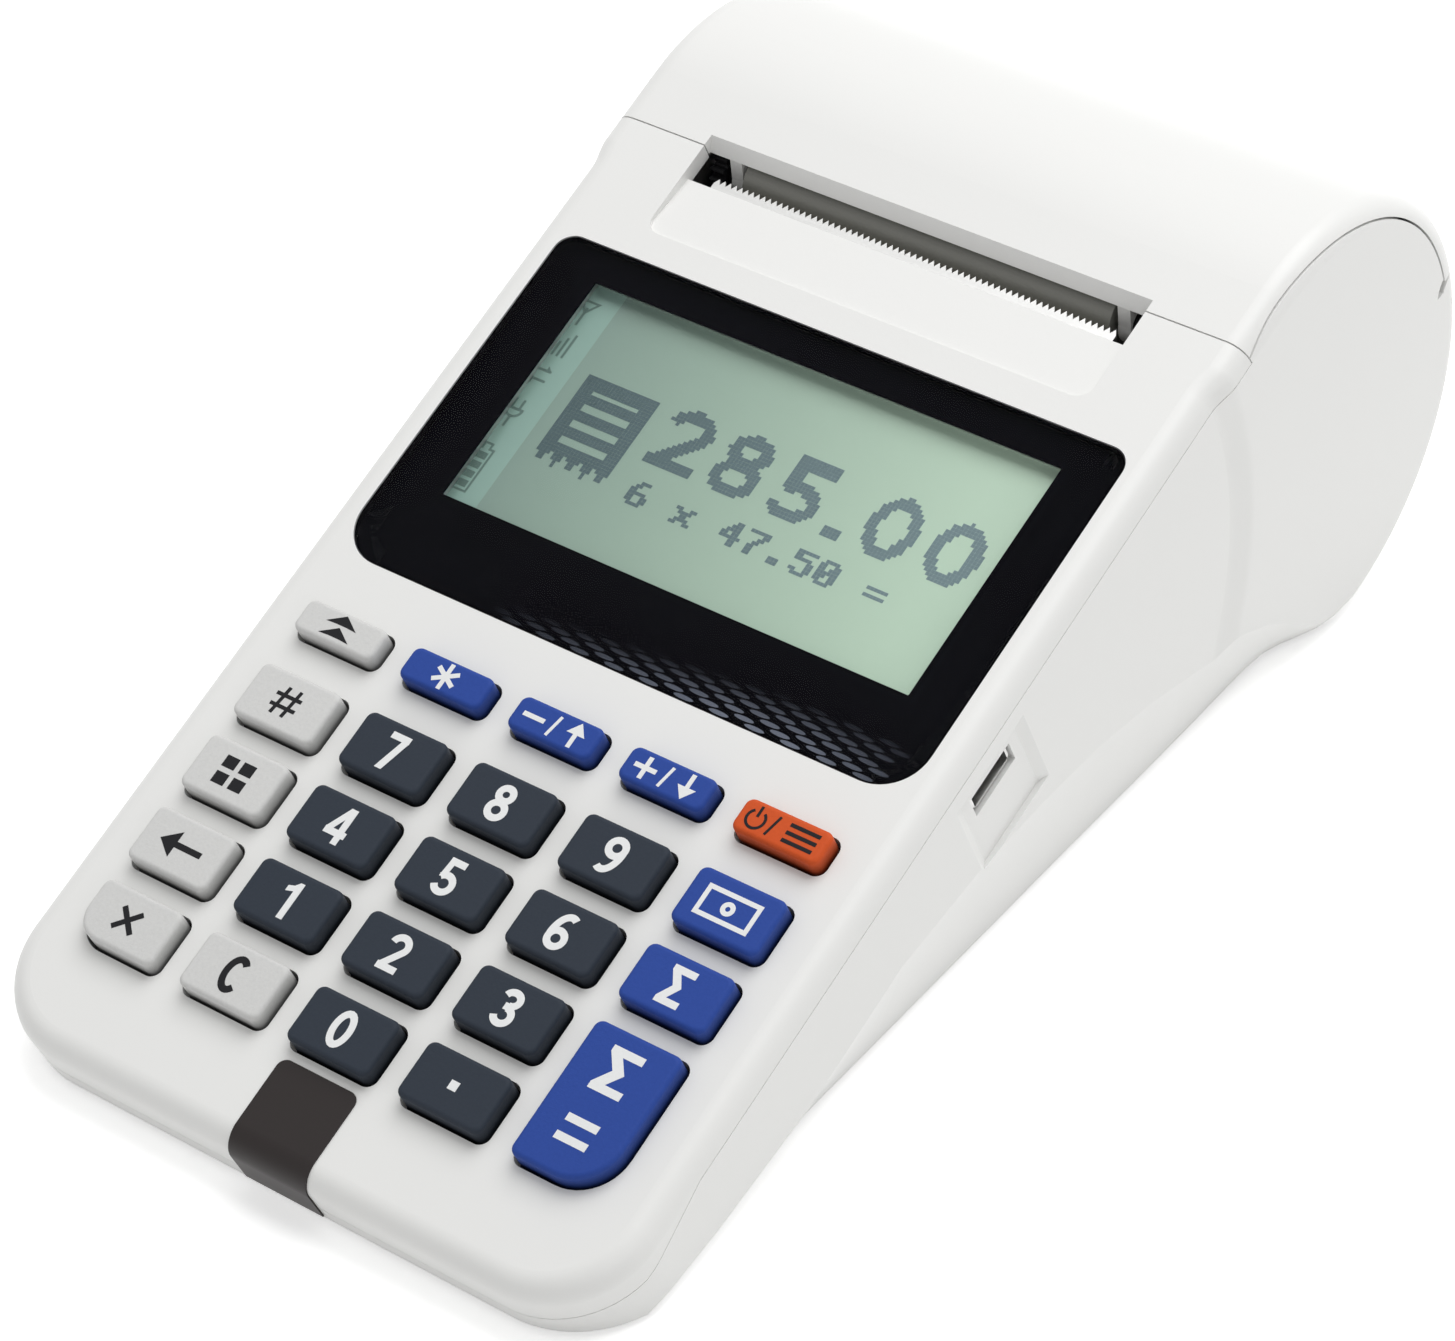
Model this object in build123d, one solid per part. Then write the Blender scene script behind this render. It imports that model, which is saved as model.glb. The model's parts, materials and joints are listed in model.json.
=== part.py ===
"""Handheld electronic till with a built-in receipt printer.

Millimetres, +Z up.  The underside faces down, +Y runs from the keypad to the paper
drum at the back, and the origin lies under the middle of the body on the table.
Most of the top is described on the sloping panel: x across, s up the slope from
the panel's front edge, w out of the panel.
"""
from build123d import *
import math
import os

# ---------------------------------------------------------------- casing form
PAPER_W = 57.0           # receipt paper
SIDE_ROOM = 17.7         # paper's edge to the outside of a side wall
CHEEK_STEP = 0.8         # drum cheeks stand this far proud of each side wall
DRUM_R = 31.6            # outer radius of the paper drum
DRUM_FLAT = 0.4          # the underside cuts this much off the drum
FRONT_H = 8.2            # height of the panel's front edge over the underside
FOOT_H = 0.8             # feet stand this far below the underside
CORNER_R = 13.0          # front corners in plan
EDGE_R = 3.0             # rounding round the top and the drum's rims
WALL = 2.4               # moulded wall
SEAM = 0.2               # gap round the lid
PART_GAP = 0.12          # gap between the two casing mouldings
PART_W = -2.8            # parting line below the panel, along the sides
PART_FRONT_W = -6.0      # parting line on the front face
PART_S0 = 10.0           # where the parting line starts to climb
PART_CLIMB = 12.0        # length of the climb to the side level
CHEEK_LEAD = 21.3        # start of the cheeks in front of the drum's axis
WAIST_R = 47.7           # arc along which the sides step out to the cheeks
WAIST_Z = 34.0           # height of that arc's middle
STEP_L = 4.4             # length of the step
BEVEL_IN = 4.7           # how far the lower side bevels run in at the underside
BEVEL_H = 18.6           # highest rise of the bevels over the underside
BEVEL_BLEND = 22.0       # the bevels start to follow the cheeks this far in front of the step
BEVEL = [(0.078, 0.043, 0.15), (0.186, 0.183, 0.5), (0.326, 0.43, 1.0), (0.465, 0.806, 1.0),
         (0.59, 0.957, 1.0), (0.7, 1.0, 1.0), (0.78, 0.995, 1.0), (0.86, 0.957, 1.02), (0.9, 0.93, 1.05),
         (0.94, 0.9, 1.09), (0.98, 0.85, 1.13), (1.02, 0.77, 1.16), (1.06, 0.65, 1.17), (1.09, 0.52, 1.17),
         (1.115, 0.38, 1.12), (1.135, 0.28, 0.95), (1.155, 0.2, 0.7), (1.175, 0.155, 0.48),
         (1.2, 0.14, 0.34), (1.25, 0.14, 0.32)]

# -------------------------------------------------------------- keys and window
PITCH_X = 16.4
PITCH_S = 10.85
ROW4_S = 17.5            # front row, up the panel
THIN_STEP = 11.3         # last full row to the thin row
KEY_W = 12.1
KEY_D = 7.65
THIN_D = 4.55
KEY_UP = 2.4             # key tops over the panel
KEY_GAP = 0.4            # gap round each key
KEY_R = 1.1              # corners of a key in plan
KEY_EDGE = 0.6           # rounding of a key's top
KEY_LIP = 0.5            # flange past the opening
KEY_LIP_T = 0.8
KEY_PLAY = 0.1           # key flange below the panel's inner face
KEY_TRAVEL = 1.2
TOTAL_R = 6.0            # outer front corner of the double key
END_R = 3.6              # outer front corner of the left end key
WIN_STEP = 10.35         # thin row to the window's front edge
WIN_SIDE = 4.1           # window to the outside of a side wall
WIN_D = 50.8
WIN_R_FRONT = 6.0
WIN_R_BACK = 2.6
WIN_T = 1.2
MASK_T = 0.2
WIN_SINK = 0.1           # window below the panel
WIN_GAP = 0.15
LEDGE = 2.6              # ledge that carries the window
VIEW_SIDE = 7.45         # viewing area inside the window, at the sides
VIEW_FRONT = 12.3        # and at the front
VIEW_D = 34.0
LCD_BORDER = 2.6
LCD_GAP = 0.9            # mask to display
LCD_FRAME_T = 0.9
LCD_RIM = 0.6            # bezel sheet round the glass

# -------------------------------------------------------------------- paper lid
LID_LEAD = 8.3           # lid seam in front of the drum's highest line
LID_T = 2.0              # lid skin
LIP_RISE = 1.3           # slope of the bevelled lip over the slot
FLANGE_SINK = 2.1        # depth of the lid's side flanges at the rim
FLANGE_SHIFT = 1.1       # the flanges deepen from front to back by this shift
HINGE_ANGLE = 12.0       # hinge axis above the drum's centre, seen from the side
HINGE_IN = 2.3           # hinge axis inside the drum's skin
BEAD_R = 2.2             # hinge bead along the lid's rear edge
BEAD_SHORT = 1.4         # bead ends inside the casing's walls
HINGE_CLEAR = 3.25       # room round the hinge axis for the lid's skin to turn
EAR_R = 1.9              # ears of the lower casing that carry the pins
PIN_R = 0.8              # hinge pins
PIN_L = 7.4
PIN_GRIP = 2.4           # length of a pin inside its ear
RUN_FIT = 0.05           # radial play of running fits
SHAFT_PLAY = 0.4         # room round turning pieces in the chassis

# --------------------------------------------------------------- slot and printer
APRON_STEP = 4.3         # window's rear edge to the sunk apron
APRON_D = 9.4            # length of the apron
SLOT_D = 4.5             # slot, from the apron to the lid seam
SLOT_ROOM = 4.3          # slot past the paper, each side
CHUTE_DEPTH = 1.5
CHUTE_STEP = 0.45
APRON_R = 2.2
TEAR_OVER = 1.45         # tear bar past the paper, each side
TEAR_N = 68              # teeth of the tear bar
TEAR_TOOTH = 0.75
TEAR_OUT = 1.3           # tooth roots past the slot's front edge
TEAR_T = 0.4
TEAR_L = 3.2
ROLL_R = 4.0             # platen roller
ROLL_SHORT = 1.1         # roller inside the paper's edges
ROLL_BACK = 1.9          # roller's axis behind the lid seam
ROLL_COVER = 2.6         # roller below the panel
SHAFT_R = 1.2
BUSH_R = 2.0
BUSH_RIM = 0.6
ARM_T = 1.8              # lid arms that hold the roller
ARM_GAP = 0.6
ARM_RIM = 0.9            # arm round the bush
MODULE = 0.45
PRESSURE = 25.0
ROLL_N = 16              # teeth of the roller's gear
IDLER_N = 30
PINION_N = 10
MESH = 0.04              # extra centre distance for backlash
GEAR_T = 2.0
GEAR_GAP = 0.8
IDLER_DIR = 222.6        # direction from the roller to the idler, on the panel's section
PINION_DIR = 192.5       # direction from the idler to the pinion
PLATE_T = 1.2            # printer chassis sheet
IDLER_PIN_R = 0.9
SPINDLE_R = 0.6          # motor spindle under the pinion
SPINDLE_IN = 6.0         # length of the spindle inside the motor
COLLAR_R = 1.6           # motor's bearing collar, seated in the plate
MOTOR_R = 5.5
MOTOR_L = 20.0
HEAD_T = 1.0
HEAD_TOP = 4.2           # print head's upper edge below the panel
HEAD_H = 8.6
PAPER = 0.2              # gap between head and roller
SINK_T = 2.0
SPRING_GAP = 2.0         # room for the head's springs
SPRING_T = 0.25
SHELF_DROP = 1.6         # print head to the shelf below it
CHASSIS_LEAD = 18.0      # chassis in front of the roller's axis
CHASSIS_BACK = 3.4       # and behind it
CHASSIS_H = 18.3
CHASSIS_TOP = 0.7        # chassis below the panel's inner face
SCREW_LEAD = 14.6        # chassis screws in front of the roller's axis
SCREW_OUT = 4.0          # chassis screws outside its cheeks
EAR_W = 6.2              # chassis ears below the panel
BAY_IN = 8.1             # paper bay inside the drum
BAY_BACK = 2.5           # bay's axis behind the drum's
BAY_DROP = 2.4           # and below it
BAY_T = 1.6
BAY_FROM = 174.0         # the bay's front wall covers these angles, seen from the side
BAY_TO = 236.0

# ------------------------------------------------------------ inside and underside
MAT_TOP = 4.9
MAT_T = 1.1
MAT_EDGE = 1.2           # mat past the keys, front and back
DOME_R = 3.0
DOME_H = 0.35
BOARD_TOP = 8.3
BOARD_T = 1.6
BOARD_S0 = 11.5
BOARD_END = 9.0          # board ends in front of the apron
BOARD_GAP = 1.3          # board to the side walls
BOARD_R = 12.0
USB_STEP = 10.2          # port behind the window's front edge
USB_W = 7.9
USB_H = 2.8
USB_L = 6.4
USB_SINK = 0.5           # port's mouth inside the dish
USB_MID = 9.3            # port centre below the panel
USB_GAP = 0.3
DISH_HALF = 7.3          # dished patch round the port
DISH_UP = 3.9
DISH_DOWN = 9.7
DISH_DEPTH = 0.7
DISH_DRAFT = 1.4
BATT_W = 60.0
BATT_L = 47.0
BATT_H = 12.6
BATT_LEAD = 18.2         # battery in front of the paper bay
BATT_ROOM = 1.0          # play round the battery
BAY_WALL = 1.5
COVER_T = 2.0
COVER_GAP = 0.2
COVER_LAP = 2.5
COVER_TAIL = 6.0         # screwed tail of the battery cover
FOOT_R = 4.5
FOOT_SEAT = 0.6
FOOT_IN = 11.2           # feet inside the side walls
FOOT_Y = 25.0            # front feet, from the panel's front edge
FOOT_LEAD = 9.6          # rear feet in front of the drum's axis
SCREW_R = 1.2
SCREW_HEAD_R = 2.1
SCREW_HEAD_H = 1.6
HEAD_ROOM = 0.2          # play round and under the sunk heads
BOSS_R = 2.7
FRONT_SCREW_IN = 10.8    # front screws inside the cavity's walls
FRONT_SCREW_Y = 9.5
REAR_SCREW_IN = 6.0
REAR_BOSS_R = 3.6        # tube round the sunk heads of the rear screws
REAR_SEAT = 22.0         # seat of the rear screws over the underside
POST_R = 2.0
POST_IN = 2.6            # front board posts inside the cavity's walls
POST_S = 34.0
POST_IN_BACK = 5.8
POST_LEAD = 3.7          # rear board posts in front of the window
LABEL_W = 11.6
LABEL_S = 12.1
LABEL_T = 0.2
LABEL_DOWN = 8.1
LABEL_R = 1.3            # rounded corners on the panel
TOUCH = 0.02             # play between faces that rest on each other

# ------------------------------------------------------------------ derived sizes
CASE_W = PAPER_W + 2 * SIDE_ROOM
ROW0_S = ROW4_S + 3 * PITCH_S + THIN_STEP
WIN_S = ROW0_S + WIN_STEP
WIN_W = CASE_W - 2 * WIN_SIDE
VIEW_W = WIN_W - 2 * VIEW_SIDE
VIEW_S = WIN_S + VIEW_FRONT
CHUTE_S = WIN_S + WIN_D + APRON_STEP
SLOT_S = CHUTE_S + APRON_D
LID_S = SLOT_S + SLOT_D
DRUM_S = LID_S + LID_LEAD
Z_FRONT = FOOT_H + FRONT_H
DRUM_Z = FOOT_H + DRUM_R - DRUM_FLAT
TILT = math.asin((DRUM_Z - Z_FRONT) / math.hypot(DRUM_S, DRUM_R)) + math.atan2(DRUM_R, DRUM_S)
CA = math.cos(TILT)
SA = math.sin(TILT)
SIDE_X = CASE_W / 2
CHEEK_X = SIDE_X + CHEEK_STEP
CAV_X = SIDE_X - WALL
LID_X = CAV_X - 2 * SEAM
FRONT_REACH = EDGE_R * (CA + SA - 1)
AXIS_Y = DRUM_S * CA + DRUM_R * SA
Y_FRONT = -(FRONT_REACH + AXIS_Y + DRUM_R) / 2
DRUM_Y = Y_FRONT + AXIS_Y
CHEEK_Y = AXIS_Y - CHEEK_LEAD
PANEL = Plane(origin=(0, Y_FRONT, Z_FRONT), x_dir=(1, 0, 0), z_dir=(0, -SA, CA))
HINGE_Y = DRUM_Y + (DRUM_R - HINGE_IN) * math.cos(math.radians(HINGE_ANGLE))
HINGE_Z = DRUM_Z + (DRUM_R - HINGE_IN) * math.sin(math.radians(HINGE_ANGLE))
BEAD_X = CAV_X - BEAD_SHORT
EAR_X = BEAD_X + 2 * SEAM
SLOT_X = PAPER_W / 2 + SLOT_ROOM
TEAR_W = PAPER_W + 2 * TEAR_OVER
ROLL_S = LID_S + ROLL_BACK
ROLL_DEPTH = ROLL_R + ROLL_COVER
ROLL_X = PAPER_W / 2 - ROLL_SHORT
ARM_X = ROLL_X + ARM_GAP
GEAR_X = ARM_X + ARM_T + GEAR_GAP
CHASSIS_X = GEAR_X + GEAR_T + GEAR_GAP
SHAFT_X = CHASSIS_X + PLATE_T + 0.3
HEAD_S = ROLL_S - ROLL_R - PAPER
BAY_R = DRUM_R - BAY_IN
BAY_S = DRUM_S + BAY_BACK
BAY_DEPTH = DRUM_R + BAY_DROP
BATT_Y = BAY_S * CA + BAY_DEPTH * SA - BAY_R - BAY_T - BATT_LEAD - BATT_L / 2
BOARD_S1 = CHUTE_S - BOARD_END
BOARD_W = 2 * (CAV_X - BOARD_GAP)
USB_S = WIN_S + USB_STEP
FEET = [(SIDE_X - FOOT_IN, FOOT_Y), (SIDE_X - FOOT_IN, AXIS_Y - FOOT_LEAD)]
FRONT_SCREW = (CAV_X - FRONT_SCREW_IN, FRONT_SCREW_Y)
REAR_SCREW = (CAV_X - REAR_SCREW_IN, CHEEK_Y)
POSTS = [(CAV_X - POST_IN, POST_S), (CAV_X - POST_IN_BACK, WIN_S - POST_LEAD)]
CHASSIS_S = ROLL_S - CHASSIS_LEAD
CHASSIS_EAR = (CHASSIS_X + SCREW_OUT, ROLL_S - SCREW_LEAD)


def side(s, w):
    """Y and Z of a point of the panel's section."""
    return (Y_FRONT + s * CA - w * SA, Z_FRONT + s * SA + w * CA)


def on_panel(shape):
    """Move a shape drawn in panel coordinates onto the panel."""
    return PANEL.location * shape


def block(x0, x1, y0, y1, z0, z1):
    """Box between six limits."""
    mid = ((x0 + x1) / 2, (y0 + y1) / 2, (z0 + z1) / 2)
    return Pos(*mid) * Box(x1 - x0, y1 - y0, z1 - z0)


def both(shape):
    """The shape and its mirror image across the middle."""
    return shape + mirror(shape, about=Plane.YZ)


def prism(face, x0, x1):
    """Extrude a face drawn in Y and Z from x0 to x1."""
    return Pos(x0, 0, 0) * extrude(Plane.YZ * face, amount=x1 - x0)


def polygon(points):
    """Closed face through points."""
    return make_face(Polyline(*points, close=True))


def panel_prism(points, x0, x1):
    """Prism across the body over a polygon given as (s, w)."""
    return prism(polygon([side(s, w) for s, w in points]), x0, x1)


def rod(y, z, r, x0, x1):
    """Round bar across the body."""
    return Pos((x0 + x1) / 2, y, z) * Rot(0, 90, 0) * Cylinder(r, x1 - x0)


def panel_rod(s, w, r, x0, x1):
    """Round bar across the body, placed in the panel's section."""
    y, z = side(s, w)
    return rod(y, z, r, x0, x1)


def post(x, y, r, z0, z1):
    """Upright cylinder."""
    return Pos(x, y, (z0 + z1) / 2) * Cylinder(r, z1 - z0)


def rounded(w, d, radii):
    """Rectangle about its centre with radii at front left, front right, back right, back left."""
    fl, fr, br, bl = radii
    x, y = w / 2, d / 2
    lines = [Line((-x + fl, -y), (x - fr, -y)), Line((x, -y + fr), (x, y - br))]
    lines += [Line((x - br, y), (-x + bl, y)), Line((-x, y - bl), (-x, -y + fl))]
    arcs = [CenterArc((x - fr, -y + fr), fr, -90, 90), CenterArc((x - br, y - br), br, 0, 90)]
    arcs += [CenterArc((-x + bl, y - bl), bl, 90, 90), CenterArc((-x + fl, -y + fl), fl, 180, 90)]
    return make_face(lines + arcs)


# ------------------------------------------------------------------------ casing
def profile(inset):
    """Side section: sloping panel, drum, flat underside and square front face."""
    r = DRUM_R - inset
    chord = math.sqrt(r ** 2 - (DRUM_R - DRUM_FLAT - inset) ** 2)
    z_base = FOOT_H + inset
    w_base = (z_base - Z_FRONT - inset * SA) / CA
    p0, p1 = side(inset, -inset), side(DRUM_S, -inset)
    p2, p3 = (DRUM_Y + chord, z_base), side(inset, w_base)
    back = ThreePointArc(p1, (DRUM_Y + r, DRUM_Z), p2)
    return make_face([Line(p0, p1), back, Line(p2, p3), Line(p3, p0)])


def front_plan(inset):
    """Prism square to the panel that rounds the two front corners."""
    half, corner = SIDE_X - inset, CORNER_R - inset
    s1, s2, far = CORNER_R, 2 * CORNER_R, 2 * DRUM_S
    arcs = [CenterArc((half - corner, s1), corner, -90, 90), CenterArc((corner - half, s1), corner, 180, 90)]
    edge = [(half, s1), (half, s2), (CASE_W, s2), (CASE_W, far), (-CASE_W, far), (-CASE_W, s2), (-half, s2), (-half, s1)]
    face = make_face([Line((corner - half, inset), (half - corner, inset)), Polyline(*edge), *arcs])
    return on_panel(Pos(0, 0, EDGE_R - 4 * DRUM_R) * extrude(face, amount=4 * DRUM_R))


def bevel_cutter(inset):
    """What the lower side bevels take off, right side."""
    sections = []
    far = CHEEK_X + WALL
    for along, up, share in BEVEL:
        y, rise = along * CHEEK_Y, up * BEVEL_H
        x_out = SIDE_X + CHEEK_STEP * min(max(1 + (y - CHEEK_Y) / BEVEL_BLEND, 0), 1) - inset
        slope = BEVEL_IN * share / rise
        low, high = FOOT_H + inset - 1, FOOT_H + inset + rise
        pts = [(x_out - BEVEL_IN * share - slope, low), (far, low), (far, high + (far - x_out) / slope), (x_out, high)]
        sections.append(Plane.XZ.offset(-(Y_FRONT + y)) * polygon(pts))
    return loft(sections, ruled=True)


def waist():
    """What lies outside the right side, which steps out to the drum's cheek along an arc."""
    y = Y_FRONT + CHEEK_Y - WAIST_R
    far = 4 * DRUM_R
    a, b = (SIDE_X, WAIST_R), (CHEEK_X, WAIST_R + STEP_L)
    step = Bezier(a, (SIDE_X, a[1] + STEP_L / 3), (CHEEK_X, b[1] - STEP_L / 3), b)
    edge = Polyline(b, (CHEEK_X, far), (CASE_W, far), (CASE_W, 0), (SIDE_X, 0), a)
    rear = revolve(Rot(-90, 0, 0) * make_face([step, edge]), Axis.X, 180)
    front = block(SIDE_X, CASE_W, -far, 0, -far, far)
    return Pos(0, y, WAIST_Z) * (rear + front)


def wedge():
    """Body in front of the drum's axis, with the panel's rim rounded."""
    low = Z_FRONT - FRONT_H
    axis = (DRUM_Y, DRUM_Z)
    outline = [side(0, 0), side(DRUM_S, 0), axis, (DRUM_Y, low), side(0, -FRONT_H / CA)]
    body = (prism(polygon(outline), -CASE_W, CASE_W) & front_plan(0)) - both(waist())
    rim = [e for e in body.edges() if abs(PANEL.to_local_coords(e @ 0.5).Z) < 0.01]
    rim = [e for e in rim if PANEL.to_local_coords(e @ 0.5).Y < DRUM_S - 0.1]
    return fillet(rim, EDGE_R)


def drum():
    """Paper drum behind its axis, with rounded rims and the underside cut flat."""
    low = Z_FRONT - FRONT_H
    far = 2 * DRUM_R
    body = rod(DRUM_Y, DRUM_Z, DRUM_R, -CHEEK_X, CHEEK_X)
    body = fillet(body.edges().filter_by(GeomType.CIRCLE), EDGE_R)
    top = side(DRUM_S, far - DRUM_R)
    sector = [(DRUM_Y, DRUM_Z), top, (DRUM_Y + far, top[1]), (DRUM_Y + far, low), (DRUM_Y, low)]
    return body & prism(polygon(sector), -CASE_W, CASE_W)


def envelope():
    """Outer form of the whole body before it is split."""
    return wedge() + drum() - both(bevel_cutter(0))


def shell():
    """Envelope with its inside hollowed to an even wall."""
    hollow = prism(profile(WALL), -CAV_X, CAV_X) & front_plan(WALL)
    return envelope() - (hollow - both(bevel_cutter(WALL)))


def upper_zone(grown):
    """Everything over the parting line and in front of the lid seam, grown or shrunk by half the gaps."""
    back, drop, out = LID_S + grown * SEAM / 2, grown * PART_GAP / 2, CORNER_R
    pts = [(-out, PART_FRONT_W - drop), (PART_S0, PART_FRONT_W - drop), (PART_S0 + PART_CLIMB, PART_W - drop)]
    pts += [(back, PART_W - drop), (back, out), (-out, out)]
    return panel_prism(pts, -CASE_W, CASE_W)


def lid_zone(gap, x0, x1):
    """Sector behind the lid seam and above the hinge axis."""
    far = 3 * DRUM_R
    a = math.radians(HINGE_ANGLE)
    n = (gap * math.sin(a), -gap * math.cos(a))
    end = (DRUM_Y + far * math.cos(a) + n[0], DRUM_Z + far * math.sin(a) + n[1])
    mid = (DRUM_Y + n[0], DRUM_Z + n[1])
    top = side(LID_S - gap, DRUM_R)
    foot = side(LID_S - gap, -DRUM_R)
    return prism(polygon([top, foot, mid, end, (end[0], end[1] + far)]), x0, x1)


def flange_circle(gap, x0, x1):
    """Cylinder inside the lid's side flanges."""
    r = DRUM_R - FLANGE_SINK - gap
    return panel_rod(DRUM_S - FLANGE_SHIFT, -DRUM_R + FLANGE_SHIFT, r, x0, x1)


def hinge_web():
    """Part of the hinge clearance that stays solid behind each ear."""
    a = math.radians(HINGE_ANGLE)
    r = HINGE_CLEAR + 0.1
    pts = []
    for u, v in [(-r, -r), (-0.2, -r), (-0.2, 0), (-1.4, 0.8), (-r, 0.8)]:
        pts.append((HINGE_Y + u * math.cos(a) - v * math.sin(a), HINGE_Z + u * math.sin(a) + v * math.cos(a)))
    return polygon(pts)


# -------------------------------------------------------------------- key layout
def key_table():
    """Every key: name, column, middle up the panel, depth, corner radii."""
    k = KEY_R
    even = (k, k, k, k)
    rows = [(ROW0_S, THIN_D, ["feed", "func", "minus", "plus", "mode"])]
    names = [["plu", "7", "8", "9", "pay"], ["dept", "4", "5", "6", "subtotal"]]
    names += [["void", "1", "2", "3", "total"], ["quantity", "clear", "0", "point"]]
    for i, line in enumerate(names):
        rows.append((ROW4_S + (3 - i) * PITCH_S, KEY_D, line))
    keys = []
    for mid, depth, line in rows:
        for col, name in enumerate(line):
            radii, s, d = even, mid, depth
            if name == "total":
                radii, s, d = (k, TOTAL_R, k, k), mid - PITCH_S / 2, depth + PITCH_S
            if name == "quantity":
                radii = (END_R, k, k, k)
            keys.append(("key_" + name, (col - 2) * PITCH_X, s, d, radii))
    return keys


def grow(radii, by):
    """Corner radii of an outline offset outwards."""
    return tuple(max(r + by, 0.2) for r in radii)


def key(x, s, d, radii):
    """One key: capped stem with a flange under the panel."""
    under = WALL + KEY_PLAY
    cap = extrude(Pos(x, s, -under) * rounded(KEY_W, d, radii), amount=under + KEY_UP)
    rim = cap.edges().group_by(Axis.Z)[-1]
    cap = fillet(rim, KEY_EDGE)
    lip = KEY_GAP + KEY_LIP
    flange = rounded(KEY_W + 2 * lip, d + 2 * lip, grow(radii, lip))
    return on_panel(cap + extrude(Pos(x, s, -under) * flange, amount=-KEY_LIP_T))


def key_holes():
    """Openings in the panel for all keys."""
    holes = []
    for _, x, s, d, radii in key_table():
        face = rounded(KEY_W + 2 * KEY_GAP, d + 2 * KEY_GAP, grow(radii, KEY_GAP))
        holes.append(extrude(Pos(x, s, 1) * face, amount=-WALL - 2))
    return on_panel(Part() + holes)


# ------------------------------------------------------------------ upper casing
def window_face(grow_by):
    """Outline of the window, grown on every side."""
    radii = grow((WIN_R_FRONT, WIN_R_FRONT, WIN_R_BACK, WIN_R_BACK), grow_by)
    return Pos(0, WIN_S + WIN_D / 2) * rounded(WIN_W + 2 * grow_by, WIN_D + 2 * grow_by, radii)


def window_cut():
    """Seat for the window and the opening behind it."""
    depth = WIN_SINK + WIN_T + MASK_T
    seat = extrude(Pos(0, 0, -depth) * window_face(WIN_GAP), amount=depth + 1)
    hole = extrude(Pos(0, 0, -WALL - 1) * window_face(-LEDGE), amount=WALL + 2)
    return on_panel(seat + hole)


def apron_cut():
    """Sunk apron that slopes down to the paper slot, and the slot itself."""
    slope = [(CHUTE_S, WALL), (CHUTE_S, -CHUTE_STEP), (SLOT_S, -CHUTE_DEPTH), (SLOT_S, WALL)]
    apron = panel_prism(slope, -SLOT_X, SLOT_X)
    corners = apron.edges().filter_by(Axis((0, 0, 0), (0, -SA, CA))).group_by(Axis.Y)[0]
    apron = fillet(corners, APRON_R)
    throat = on_panel(block(-SLOT_X, SLOT_X, SLOT_S, LID_S + WALL, -3 * WALL, WALL))
    return apron + throat


def hung_post(x, y, r, z0):
    """Post under the panel that hangs down to z0, in plain X, Y and Z."""
    bar = post(x, y, r, z0, 3 * DRUM_R)
    far = 2 * DRUM_S
    roof = panel_prism([(-far, -WALL / 2), (far, -WALL / 2), (far, far), (-far, far)], -CASE_W, CASE_W)
    return bar - roof


def screw_levels(place):
    """Seat of a casing screw's head and the split between the two posts."""
    x, y = place
    if place == FRONT_SCREW:
        seat = FOOT_H + SCREW_HEAD_H + 0.4
        split = FOOT_H + WALL + 2.0
    else:
        seat = FOOT_H + REAR_SEAT
        split = seat + 2.4
    return seat, split


def upper_casing(hull):
    """Upper moulding: panel, openings and hanging posts."""
    body = hull & upper_zone(-1)
    for place in (FRONT_SCREW, REAR_SCREW):
        _, split = screw_levels(place)
        stud = hung_post(place[0], Y_FRONT + place[1], BOSS_R, split + TOUCH)
        body = body + both(stud)
    for x, s in POSTS:
        peg = on_panel(Pos(x, s, -(WALL + BOARD_TOP) / 2) * Cylinder(POST_R, BOARD_TOP - WALL + 0.2))
        body = body + both(peg - on_panel(block(0, CASE_W, 0, DRUM_S, -2 * BOARD_TOP, -BOARD_TOP + TOUCH)))
        body = body - both(on_panel(Pos(x, s, -BOARD_TOP) * Cylinder(0.8, 2.6)))
    ears = on_panel(Pos(*CHASSIS_EAR, -(WALL + EAR_W) / 2) * Cylinder(2.5, EAR_W - WALL + 0.2))
    body = body + both(ears - on_panel(block(0, CASE_W, 0, DRUM_S, -2 * EAR_W, -EAR_W + TOUCH)))
    body = body - key_holes() - window_cut() - apron_cut()
    for place in (FRONT_SCREW, REAR_SCREW):
        seat, split = screw_levels(place)
        bore = post(place[0], Y_FRONT + place[1], SCREW_R, 0, screw_tip(place) + 0.5)
        body = body - both(bore)
    bore = on_panel(Pos(*CHASSIS_EAR, -EAR_W) * Cylinder(1.0, 6.4))
    return body - both(bore)


def screw_tip(place):
    """Height of a casing screw's tip."""
    seat, split = screw_levels(place)
    return split + (3.6 if place == FRONT_SCREW else 9.0)


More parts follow.
